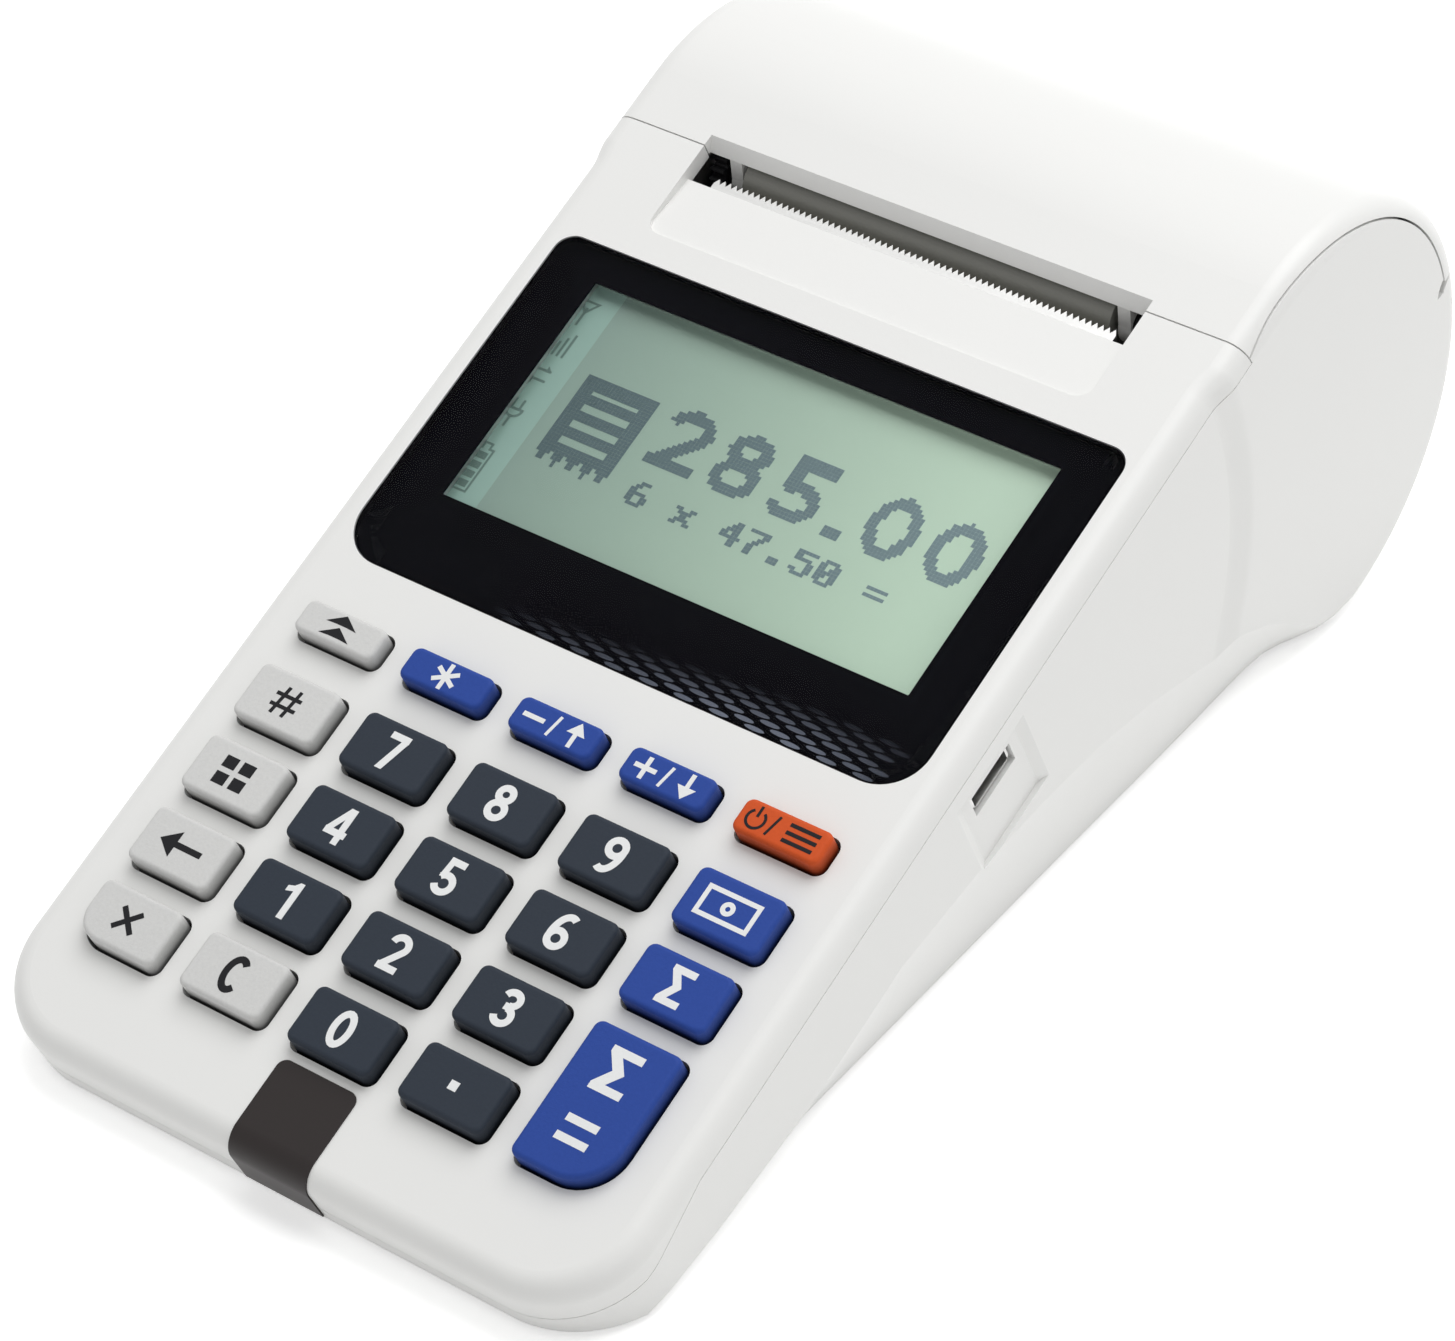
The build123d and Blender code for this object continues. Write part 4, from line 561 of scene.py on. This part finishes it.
def oval_fade(ink):
    """How strongly an oval is printed: full along the window's foot, fading up and to both sides."""
    across, up, _ = ink.panel_place()
    foot = panel_box("window_mask")[1][0]
    tree = ink.tree
    depth = sums(tree, "ADD", sums(tree, "MULTIPLY", across, OVAL_SPREAD), OVAL_DEPTH)
    above = sums(tree, "DIVIDE", sums(tree, "SUBTRACT", up, foot + OVAL_FULL), depth)
    faded = sums(tree, "POWER", ramp(tree, above, 0.0, 1.0, 1.0, 0.0), OVAL_FALL)
    left = sums(tree, "POWER", ramp(tree, across, *OVAL_LEFT), OVAL_ENTRY)
    right = ramp(tree, across, *OVAL_RIGHT, 1.0, OVAL_END)
    return sums(tree, "MULTIPLY", sums(tree, "MULTIPLY", faded, left), right)


# ---- property sets
def colour_property(name, default, description):
    """A colour a user would change."""
    return FloatVectorProperty(name=name, description=description, default=default, size=3,
                               subtype="COLOR", min=0.0, max=1.0)


def length_property(name, default, description, digits=5):
    """A length a user would change."""
    return FloatProperty(name=name, description=description, default=default, unit="LENGTH", precision=digits)


class RegisterColours(bpy.types.PropertyGroup):
    """Colours of the register's finishes and inks."""
    casing: colour_property("Casing", (0.82, 0.82, 0.805), "Off-white of the mouldings")
    key_grey: colour_property("Grey keys", (0.65, 0.65, 0.64), "Light grey of the left keys")
    key_blue: colour_property("Blue keys", (0.025, 0.066, 0.315), "Blue of the function keys")
    key_orange: colour_property("Orange key", (0.62, 0.090, 0.020), "Orange of the power key")
    key_dark: colour_property("Dark keys", (0.028, 0.036, 0.050), "Slate of the number keys")
    label: colour_property("Front label", (0.014, 0.0095, 0.009), "Brown-black of the front label")
    window: colour_property("Window print", (0.003, 0.003, 0.0045), "Black behind the window")
    # The display's bright and dim colours are painted light on its right and painted shade on its left.
    display: colour_property("Display", (0.425, 0.575, 0.45), "Grey-green of the display's bright side")
    display_painted_shade: colour_property("Display shade", (0.158, 0.24, 0.208), "Grey-green of its dim side")
    display_strip: colour_property("Display strip", (0.215, 0.345, 0.30), "Grey-green behind the icons")
    # The dots' dim colour is painted shade on the display's left side.
    liquid_painted_shade: colour_property("Lit dots, dim side", (0.062, 0.098, 0.105), "Grey-blue of the dots on the left")
    liquid: colour_property("Lit dots", (0.165, 0.235, 0.255), "Grey-blue of the lit dots")
    liquid_icon: colour_property("Icons", (0.115, 0.18, 0.16), "Fainter tone of the icon column")
    oval: colour_property("Oval print", (0.165, 0.185, 0.235), "Grey-blue of the oval mesh print")
    ink_white: colour_property("Light ink", (0.82, 0.83, 0.83), "Signs on dark keys")
    ink_black: colour_property("Dark ink", (0.010, 0.010, 0.012), "Signs on light keys")
    roller: colour_property("Roller", (0.19, 0.19, 0.17), "Olive-grey of the paper roller")
    steel: colour_property("Steel", (0.62, 0.62, 0.61), "Drawn steel sheet")


class RegisterSizes(bpy.types.PropertyGroup):
    """Sizes of the printed pieces, in metres or as counts."""
    ink: length_property("Ink", 0.00003, "Thickness of a printed sign")
    figure: length_property("Figure", 0.0050, "Height of the key figures", 4)
    dot_pitch: length_property("Dot pitch", 0.0005, "Pitch of the display's dots")
    dot_columns: IntProperty(name="Dot columns", description="Dots across the display", default=128)
    dot_rows: IntProperty(name="Dot rows", description="Dots up the display", default=64)
    oval_pitch: length_property("Oval pitch", 0.00514, "Pitch of the ovals across")
    oval_rise: length_property("Oval rise", 0.00064, "Distance between the ovals' rows")
    oval_lag: length_property("Oval lag", 0.00187, "How far each row of ovals sits left of the row below")
    big_text: StringProperty(name="Amount", description="Large figures on the display", default="285.00")
    small_text: StringProperty(name="Sum", description="Small figures on the display", default="6 x 47.50 =")


class RegisterStage(bpy.types.PropertyGroup):
    """Light, floor and camera."""
    floor: colour_property("Floor", (0.95, 0.95, 0.945), "Pale plain floor")
    sky: FloatProperty(name="Sky", description="Strength of the even surrounding light", default=0.46)
    overhead: FloatProperty(name="Overhead", description="Power of the overhead lamp", default=12.9, subtype="POWER")
    flank: FloatProperty(name="Flank", description="Power of the lamp on the right", default=0.8, subtype="POWER")
    lift: FloatProperty(name="Floor lift", description="Extra whiteness of the floor as it is seen", default=0.45)
    lens: FloatProperty(name="Lens", description="Focal length", default=124.42, subtype="DISTANCE_CAMERA")


MATERIALS = {}


# ---- operators
class REGISTER_OT_finishes(bpy.types.Operator):
    """Builds every finish and gives each fixed node the one of its material slot"""
    bl_idname = "register.finishes"
    bl_label = "Finishes"

    def execute(self, context):
        look = context.scene.register_colours
        grain, tone, drawn = grain_group(), tone_group(), drawn_group()
        made = make_plain(look, grain, drawn, tone)
        made.update(make_keys(look, grain, tone))
        made.update(window_clear=make_window(look), lcd=make_display(look, grain, tone))
        made.update(make_inks(look, grain, tone))
        MATERIALS.update({name: finish.material for name, finish in made.items()})
        for row in frame["record"]["subparts"]:
            for slot in NODES[row["node"]].material_slots:
                slot.material = MATERIALS[row["material_slot"]]
        return {"FINISHED"}


# Strokes of the signs and icons, in millimetres.
BOLD = 0.62
FIRM = 0.6
EVEN = 0.5
SLIM = 0.42
FINE = 0.36
SIGN_SINK = 0.000002  # how deep a sign's underside lies in the top of its key, in metres


def sign_feed(d):
    """Two stacked arrowheads."""
    for y in (-1.35, 0.4):
        d.polygon([(-2.3, y - 0.1), (-0.8, y), (0.8, y), (2.3, y - 0.1), (0.0, y + 1.4)])


def sign_star(d):
    """Six-pointed asterisk."""
    for k in range(3):
        a = math.radians(90 + 60 * k)
        x, y = 1.8 * math.cos(a), 1.8 * math.sin(a)
        d.bar(-x, -y, x, y, FIRM)


def slash_and_arrow(d, up):
    """Slash, and a short arrow with its head up or down."""
    d.bar(-0.4, -1.45, 0.2, 1.45, SLIM)
    x, k = 3.0, 1 if up else -1
    d.bar(x, -1.7 * k, x, 0.2 * k, FIRM)
    d.polygon([(x - 1.3 * k, 0.1 * k), (x + 1.3 * k, 0.1 * k), (x, 1.75 * k)])


def sign_minus(d):
    """Minus, slash and arrow up."""
    d.bar(-4.6, 0, -1.5, 0, BOLD)
    slash_and_arrow(d, True)


def sign_plus(d):
    """Plus, slash and arrow down."""
    d.bar(-4.6, 0, -1.5, 0, BOLD)
    d.bar(-3.05, -1.5, -3.05, 1.5, BOLD)
    slash_and_arrow(d, False)


def sign_power(d):
    """Power sign, slash and three bars."""
    d.ribbon(arc_points(-3.6, -0.1, 1.2, 1.2, 125, 415), FINE)
    d.bar(-3.6, 0.2, -3.6, 1.65, FINE)
    d.bar(-1.6, -1.4, -0.9, 1.4, 0.34)
    for y in (-1.05, 0.0, 1.05):
        d.bar(0.6, y, 4.8, y, EVEN)


def sign_grid(d):
    """Four small squares."""
    for x in (-1.3, 1.3):
        for y in (-1.15, 1.15):
            d.bar(x - 0.95, y, x + 0.95, y, 1.6)


def sign_hash(d):
    """Two upright and two level bars."""
    for k in (-1, 1):
        d.bar(-0.25 + 0.85 * k, -1.95, 0.25 + 0.85 * k, 1.95, EVEN)
        d.bar(-1.9, 0.75 * k, 1.9, 0.75 * k, EVEN)


def sign_back(d):
    """Arrow to the left."""
    d.bar(-0.9, 0, 3.1, 0, 0.8)
    d.polygon([(-3.2, 0), (-0.8, -1.8), (-0.8, 1.8)])


def sign_note(d):
    """A plain banknote: frame and ring."""
    d.ribbon([(-3.5, -1.75), (3.5, -1.75), (3.5, 1.75), (-3.5, 1.75)], FIRM, True)
    d.ribbon(ring_points(0, 0, 0.62, 0.62), FIRM, True)


def sign_times(d):
    """Two crossed bars."""
    for k in (-1, 1):
        d.bar(-1.45, -1.45 * k, 1.45, 1.45 * k, 0.72)


def sign_point(d):
    """A square point."""
    d.bar(-0.6, 0, 0.6, 0, 1.2)


def sign_total(d):
    """A sum sign over an equals sign."""
    d.figure("Σ", -2.2, 1.4, 6.9, 5.8, 0.0)
    for y in (-2.6, -5.0):
        d.bar(-2.2, y, 2.2, y, 1.0)


SIGNS = {"feed": sign_feed, "func": sign_star, "minus": sign_minus, "plus": sign_plus, "mode": sign_power,
         "plu": sign_hash, "dept": sign_grid, "void": sign_back, "pay": sign_note, "point": sign_point,
         "quantity": sign_times, "total": sign_total}
LETTERS = {"clear": "C", "subtotal": "Σ"}  # keys in neither table show the digit they are named for


class REGISTER_OT_legends(bpy.types.Operator):
    """Prints a plain sign on every key"""
    bl_idname = "register.legends"
    bl_label = "Key signs"

    def execute(self, context):
        size = context.scene.register_sizes
        for row in frame["record"]["subparts"]:
            node = row["node"]
            if not node.startswith("key_"):
                continue
            name = node.removeprefix("key_")
            d = Drawing(size.ink / MM)
            if name in SIGNS:
                SIGNS[name](d)
            else:
                d.words(LETTERS.get(name, name), size.figure / MM)
            dark = row["material_slot"] in ("key_grey", "key_orange")
            (x0, x1), (s0, s1), (_, top) = panel_box(node)
            place = panel_matrix((x0 + x1) / 2, (s0 + s1) / 2, top - SIGN_SINK)
            d.finish("sign_" + name, place, MATERIALS["ink_black" if dark else "ink_white"], node)
        return {"FINISHED"}


def new_geometry(name, ins):
    """A geometry tree with named inputs; returns the tree and its two end nodes."""
    tree = bpy.data.node_groups.new(name, "GeometryNodeTree")
    for label, kind in [("Geometry", "Geometry"), *ins]:
        tree.interface.new_socket(label, in_out="INPUT", socket_type="NodeSocket" + kind)
    tree.interface.new_socket("Geometry", in_out="OUTPUT", socket_type="NodeSocketGeometry")
    return tree, tree.nodes.new("NodeGroupInput"), tree.nodes.new("NodeGroupOutput")


def run_geometry(tree, values, place, name, body):
    """Evaluates a tree on an empty mesh and keeps the result as a plain piece."""
    holder = new_object("holder", bpy.data.meshes.new("holder"))
    modifier = holder.modifiers.new("made", "NODES")
    modifier.node_group = tree
    for item in tree.interface.items_tree:
        if item.in_out == "INPUT" and item.name in values:
            modifier[item.identifier] = values[item.name]
    bpy.context.view_layer.update()
    mesh = bpy.data.meshes.new_from_object(holder.evaluated_get(bpy.context.evaluated_depsgraph_get()))
    bpy.data.objects.remove(holder)
    if not mesh.polygons:
        raise RuntimeError(name + " came out empty")
    mesh.transform(place)
    add_piece(name, mesh, None, body)


def point_grid(tree, start, rise):
    """A grid of points by the tree's counts, its pitch across and its rise."""
    grid = tree.nodes.new("GeometryNodeMeshGrid")
    for count, pitch, side in (("Columns", "Pitch", "X"), ("Rows", rise, "Y")):
        tree.links.new(start.outputs[count], grid.inputs["Vertices " + side])
        steps = sums(tree, "SUBTRACT", start.outputs[count], 1.0)
        tree.links.new(sums(tree, "MULTIPLY", steps, start.outputs[pitch]), grid.inputs["Size " + side])
    return grid.outputs["Mesh"]


def painted_copies(tree, start, end, points, chosen, shape, scale=None):
    """Puts a shape on the chosen points, makes the copies real, paints them and ends the tree with them."""
    copies = tree.nodes.new("GeometryNodeInstanceOnPoints")
    real = tree.nodes.new("GeometryNodeRealizeInstances")
    paint = tree.nodes.new("GeometryNodeSetMaterial")
    link = tree.links.new
    link(points, copies.inputs["Points"])
    link(chosen, copies.inputs["Selection"])
    link(shape, copies.inputs["Instance"])
    if scale is not None:
        link(scale, copies.inputs["Scale"])
    link(copies.outputs[0], real.inputs[0])
    link(real.outputs[0], paint.inputs["Geometry"])
    link(start.outputs["Material"], paint.inputs["Material"])
    link(paint.outputs[0], end.inputs[0])


def dots_tree():
    """Square dots on a grid wherever the grid lies under the figures."""
    ins = [("Columns", "Int"), ("Rows", "Int"), ("Pitch", "Float"), ("Share", "Float"), ("Thickness", "Float"),
           ("Figures", "Object"), ("Material", "Material")]
    tree, start, end = new_geometry("Dot matrix", ins)
    link = tree.links.new
    source = place_node(tree, "GeometryNodeObjectInfo", transform_space="RELATIVE")
    link(start.outputs["Figures"], source.inputs["Object"])
    above = place_node(tree, "ShaderNodeVectorMath", {1: (0, 0, PROBE_HEIGHT)}, operation="ADD")
    link(tree.nodes.new("GeometryNodeInputPosition").outputs[0], above.inputs[0])
    ray = place_node(tree, "GeometryNodeRaycast", {"Ray Direction": (0, 0, -1), "Ray Length": 2 * PROBE_HEIGHT})
    link(source.outputs["Geometry"], ray.inputs["Target Geometry"])
    link(above.outputs[0], ray.inputs["Source Position"])
    cube = tree.nodes.new("GeometryNodeMeshCube")
    dot = sums(tree, "MULTIPLY", start.outputs["Pitch"], start.outputs["Share"])
    link(vector_of(tree, dot, dot, start.outputs["Thickness"]), cube.inputs["Size"])
    painted_copies(tree, start, end, point_grid(tree, start, "Pitch"), ray.outputs["Is Hit"], cube.outputs["Mesh"])
    return tree


# Small figures of five dots by seven: a number for each row from the top, whose highest bit is the leftmost dot.
SMALL_FACE = {
    "0": (14, 17, 19, 21, 25, 17, 14), "1": (4, 12, 4, 4, 4, 4, 14), "2": (14, 17, 1, 2, 4, 8, 31),
    "3": (31, 2, 4, 2, 1, 17, 14), "4": (2, 6, 10, 18, 31, 2, 2), "5": (31, 16, 30, 1, 1, 17, 14),
    "6": (6, 8, 16, 30, 17, 17, 14), "7": (31, 1, 2, 4, 8, 8, 8), "8": (14, 17, 17, 14, 17, 17, 14),
    "9": (14, 17, 17, 15, 1, 2, 12), "x": (0, 0, 17, 10, 4, 10, 17), "=": (0, 0, 31, 0, 31, 0, 0),
    ".": (0, 0, 0, 0, 0, 12, 12), " ": (0, 0, 0, 0, 0, 0, 0),
}
SMALL_STEP = 7  # columns from one small figure to the next
HALF_DOT = 0.3  # half of what a small figure's dot covers, as a share of the pitch

# Sizes and places on the display, in millimetres from its middle, or in columns and rows of its grid.
PROBE_HEIGHT = 5.0
FIGURES_THICKNESS = 0.2
BIG_TEXT = {"tall": 9.0, "x": 7.4, "y": 2.3, "stretch": 1.36}
SMALL_TEXT = (34, 22)
SLIP_PLACE = (-24.0, -0.4)
DOT = {"Share": 0.95, "Thickness": 0.02}
ICON_THICKNESS = 0.02
# In metres: the dots' shift to the right, the icons' place in from the left edge, and their lifts off the face.
GRID_SHIFT = 0.00095
ICONS_IN = 0.0020
DOTS_LIFT = 0.000011
ICONS_LIFT = 0.000001


def small_words(d, text, column, row, pitch, columns, rows):
    """Small figures, their dots doubled across, from a column and a row of the grid."""
    for k, sign in enumerate(text):
        for down, bits in enumerate(SMALL_FACE[sign]):
            for along in range(5):
                if bits >> (4 - along) & 1:
                    x = (column + k * SMALL_STEP + along - (columns - 1) / 2) * pitch
                    y = (row - down - (rows - 1) / 2) * pitch
                    d.bar(x - HALF_DOT * pitch, y, x + (1 + HALF_DOT) * pitch, y, 2 * HALF_DOT * pitch)


def paper_slip(d, x, y):
    """A printed slip with blank lines and a torn foot."""
    for side in (-1, 1):
        d.bar(x + 4.6 * side, y - 4.9, x + 4.6 * side, y + 6.3, 2.0)
    for i in range(5):
        d.bar(x - 3.7, y + 5.4 - 2.45 * i, x + 3.7, y + 5.4 - 2.45 * i, 1.55 if i else 2.0)
        d.polygon([(x - 5.6 + 2.24 * i, y - 4.7), (x - 3.36 + 2.24 * i, y - 4.7), (x - 4.48 + 2.24 * i, y - 6.9)])


def figure_block(size):
    """All that the display's dots show, as one flat helper in millimetres."""
    d = Drawing(FIGURES_THICKNESS)
    d.words(size.big_text, **BIG_TEXT)
    small_words(d, size.small_text, *SMALL_TEXT, size.dot_pitch / MM, size.dot_columns, size.dot_rows)
    paper_slip(d, *SLIP_PLACE)
    return new_object("figures", d.into_mesh("figures"))


def icon_column(d):
    """Aerial, signal bars, two arrows, plug and battery, from the top down."""
    d.bar(0, 11.4, 0, 14.2, FINE)
    d.ribbon([(-1.25, 15.1), (1.25, 15.1), (0, 13.4)], 0.34, True)
    for i in range(4):
        d.bar(-1.15 + 0.77 * i, 6.5, -1.15 + 0.77 * i, 7.9 + 0.75 * i, FINE)
    for k in (-1, 1):
        d.bar(-1.3, 3.4 + 0.75 * k, 1.3, 3.4 + 0.75 * k, FINE)
        d.polygon([(1.3 * k, 3.4 + 0.75 * k), (0.5 * k, 3.4 + 1.5 * k), (0.5 * k, 3.4 + 0.75 * k)])
    d.ribbon(arc_points(0, -2.1, 1.15, 1.15, 180, 360), FINE)
    d.bar(-1.3, -2.1, 1.3, -2.1, FINE)
    for x, y0, y1 in ((-0.6, -2.1, -0.6), (0.6, -2.1, -0.6), (0, -4.9, -3.2)):
        d.bar(x, y0, x, y1, FINE)
    d.ribbon([(-1.2, -14.9), (1.2, -14.9), (1.2, -8.5), (0.55, -8.5), (0.55, -7.7), (-0.55, -7.7), (-0.55, -8.5),
              (-1.2, -8.5)], 0.3, True)
    for i in range(4):
        d.bar(-0.8, -13.9 + 1.45 * i, 0.8, -13.9 + 1.45 * i, 1.0)


class REGISTER_OT_display(bpy.types.Operator):
    """Shows plain figures and icons on the display"""
    bl_idname = "register.display"
    bl_label = "Display"

    def execute(self, context):
        size = context.scene.register_sizes
        (x0, x1), (s0, s1), (_, top) = panel_box("lcd_glass")
        middle, up = (x0 + x1) / 2, (s0 + s1) / 2
        figures = figure_block(size)
        values = {**DOT, "Columns": size.dot_columns, "Rows": size.dot_rows, "Pitch": size.dot_pitch / MM,
                  "Figures": figures, "Material": MATERIALS["ink_liquid"]}
        place = panel_matrix(middle + GRID_SHIFT, up, top + DOTS_LIFT)
        run_geometry(dots_tree(), values, place, "display_figures", "casing")
        bpy.data.objects.remove(figures)
        d = Drawing(ICON_THICKNESS)
        icon_column(d)
        place = panel_matrix(x0 + ICONS_IN, up, top + ICONS_LIFT)
        d.finish("display_icons", place, MATERIALS["ink_icon"], "casing")
        return {"FINISHED"}


# Counts of the ovals, their sizes in millimetres, and how far either way of the middle they are kept.
OVALS = {"Columns": 18, "Rows": 9, "Width": 2.85, "Height": 0.57, "Thickness": 0.01, "Reach": 28.0}
OVAL_SIDES = 20
# The grid's middle: in from the right edge of the window's border, up from its foot and out of it, in metres.
OVALS_IN = 0.0319
OVALS_UP = 0.0034
OVALS_LIFT = 0.000006


def ovals_tree():
    """Ovals in rows that each lag behind the row below, kept between two limits across."""
    ins = [("Columns", "Int"), ("Rows", "Int"), ("Material", "Material")]
    ins += [(label, "Float") for label in ("Pitch", "Rise", "Lag", "Width", "Height", "Thickness", "Reach")]
    tree, start, end = new_geometry("Oval mesh", ins)
    link = tree.links.new
    split = tree.nodes.new("ShaderNodeSeparateXYZ")
    link(tree.nodes.new("GeometryNodeInputPosition").outputs[0], split.inputs[0])
    lag = sums(tree, "DIVIDE", start.outputs["Lag"], sums(tree, "MULTIPLY", start.outputs["Rise"], -1.0))
    moved = tree.nodes.new("GeometryNodeSetPosition")
    link(point_grid(tree, start, "Rise"), moved.inputs["Geometry"])
    link(vector_of(tree, sums(tree, "MULTIPLY", split.outputs["Y"], lag), 0.0, 0.0), moved.inputs["Offset"])
    kept = place_node(tree, "FunctionNodeCompare", data_type="FLOAT", operation="LESS_THAN")
    link(sums(tree, "ABSOLUTE", split.outputs["X"], 0.0), kept.inputs[0])
    link(start.outputs["Reach"], kept.inputs[1])
    oval = place_node(tree, "GeometryNodeMeshCylinder", {"Vertices": OVAL_SIDES, "Radius": 0.5})
    link(start.outputs["Thickness"], oval.inputs["Depth"])
    scale = vector_of(tree, start.outputs["Width"], start.outputs["Height"], 1.0)
    painted_copies(tree, start, end, moved.outputs[0], kept.outputs[0], oval.outputs["Mesh"], scale)
    return tree


class REGISTER_OT_window_print(bpy.types.Operator):
    """Prints a plain oval mesh along the lower edge of the window's border"""
    bl_idname = "register.window_print"
    bl_label = "Window print"

    def execute(self, context):
        size = context.scene.register_sizes
        (_, x1), (s0, _), (_, top) = panel_box("window_mask")
        values = {**OVALS, "Pitch": size.oval_pitch / MM, "Rise": size.oval_rise / MM,
                  "Lag": size.oval_lag / MM, "Material": MATERIALS["ink_oval"]}
        place = panel_matrix(x1 - OVALS_IN, s0 + OVALS_UP, top + OVALS_LIFT)
        run_geometry(ovals_tree(), values, place, "window_ovals", "casing")
        return {"FINISHED"}


# The stage in metres: how far the floor goes each way, each lamp's place and side, and where the lamps look.
FLOOR_REACH = 1.5
OVERHEAD = ((0.1, 0.45, 1.25), 1.1)
FLANK = ((1.0, -0.75, 0.75), 0.8)
LAMP_AIM = Vector((0, 0, 0.03))
# The camera's place, its axes to the right and backward, its reach, and its sensor in millimetres.
CAMERA_PLACE = (0.2990, -0.3621, 0.4136)
CAMERA_RIGHT = (0.7989, 0.5985, -0.0603)
CAMERA_BACK = (0.4885, -0.5869, 0.6456)
CAMERA_REACH = (0.01, 50)
SENSOR_WIDTH = 36


def seen_rays(tree):
    """One for camera, glossy and transmission rays, nought for all others."""
    path = tree.nodes.new("ShaderNodeLightPath")
    glossy = sums(tree, "MAXIMUM", path.outputs["Is Glossy Ray"], path.outputs["Is Transmission Ray"])
    return sums(tree, "MAXIMUM", path.outputs["Is Camera Ray"], glossy)


class REGISTER_OT_stage(bpy.types.Operator):
    """Sets the floor, the lamps, the sky and the camera"""
    bl_idname = "register.stage"
    bl_label = "Stage"

    def execute(self, context):
        stage = context.scene.register_stage
        pale = Finish("stage_floor", stage.floor, 0.9, {"Emission Color": WHITE})
        lift = sums(pale.tree, "MULTIPLY", seen_rays(pale.tree), stage.lift)
        pale.link(lift, pale.shader.inputs["Emission Strength"])
        mesh = bpy.data.meshes.new("floor")
        mesh.from_pydata([(x * FLOOR_REACH, y * FLOOR_REACH, 0) for x, y in ((-1, -1), (1, -1), (1, 1), (-1, 1))],
                         [], [(0, 1, 2, 3)])
        mesh.materials.append(pale.material)
        floor = new_object("floor", mesh)
        self.light_sky(context, stage)
        self.softbox("overhead", *OVERHEAD, stage.overhead)
        self.softbox("flank", *FLANK, stage.flank)
        self.aim_camera(context, stage)
        context.scene.view_settings.view_transform = "Standard"
        return {"FINISHED"}

    def light_sky(self, context, stage):
        """Even light all round, seen by the camera as plain white."""
        world = context.scene.world or bpy.data.worlds.new("sky")
        context.scene.world = world
        world.use_nodes = True
        tree = world.node_tree
        tree.nodes.clear()
        out = tree.nodes.new("ShaderNodeOutputWorld")
        back = tree.nodes.new("ShaderNodeBackground")
        back.inputs["Color"].default_value = WHITE
        seen = sums(tree, "MULTIPLY", seen_rays(tree), 1.0 - stage.sky)
        tree.links.new(sums(tree, "ADD", seen, stage.sky), back.inputs["Strength"])
        tree.links.new(back.outputs[0], out.inputs["Surface"])

    def softbox(self, name, place, size, power):
        """A square area lamp that looks at the middle of the body."""
        lamp = bpy.data.lights.new(name, "AREA")
        lamp.shape = "SQUARE"
        lamp.size = size
        lamp.energy = power
        holder = new_object(name, lamp)
        holder.location = place
        holder.rotation_mode = "QUATERNION"
        holder.rotation_quaternion = (LAMP_AIM - Vector(place)).to_track_quat("-Z", "Y")

    def aim_camera(self, context, stage):
        """The camera, right and in front of the till and well above it."""
        data = bpy.data.cameras.new("camera")
        data.lens = stage.lens
        data.sensor_width = SENSOR_WIDTH
        data.clip_start, data.clip_end = CAMERA_REACH
        camera = new_object("camera", data)
        right = Vector(CAMERA_RIGHT).normalized()
        back = Vector(CAMERA_BACK).normalized()
        up = back.cross(right).normalized()
        right = up.cross(back)
        turn = Matrix((right, up, back)).transposed().to_4x4()
        camera.matrix_world = Matrix.Translation(CAMERA_PLACE) @ turn
        context.scene.camera = camera


class REGISTER_PT_panel(bpy.types.Panel):
    """Sidebar panel with every step"""
    bl_label = "Ticket register"
    bl_idname = "REGISTER_PT_panel"
    bl_space_type = "VIEW_3D"
    bl_region_type = "UI"
    bl_category = "Register"

    def draw(self, context):
        for operator in OPERATORS:
            self.layout.operator(operator.bl_idname)


OPERATORS = (REGISTER_OT_finishes, REGISTER_OT_legends, REGISTER_OT_display, REGISTER_OT_window_print,
             REGISTER_OT_stage)
GROUPS = (("register_colours", RegisterColours), ("register_sizes", RegisterSizes),
          ("register_stage", RegisterStage))


def register():
    """Registers the property groups, the operators and the panel."""
    for name, group in GROUPS:
        bpy.utils.register_class(group)
        setattr(bpy.types.Scene, name, PointerProperty(type=group))
    for item in (*OPERATORS, REGISTER_PT_panel):
        bpy.utils.register_class(item)


def unregister():
    """Removes them again."""
    for item in (REGISTER_PT_panel, *reversed(OPERATORS)):
        bpy.utils.unregister_class(item)
    for name, group in reversed(GROUPS):
        delattr(bpy.types.Scene, name)
        bpy.utils.unregister_class(group)


def main():
    """Dresses the frame."""
    register()
    for operator in OPERATORS:
        space, name = operator.bl_idname.split(".")
        getattr(getattr(bpy.ops, space), name)()


if __name__ == "__main__":
    main()
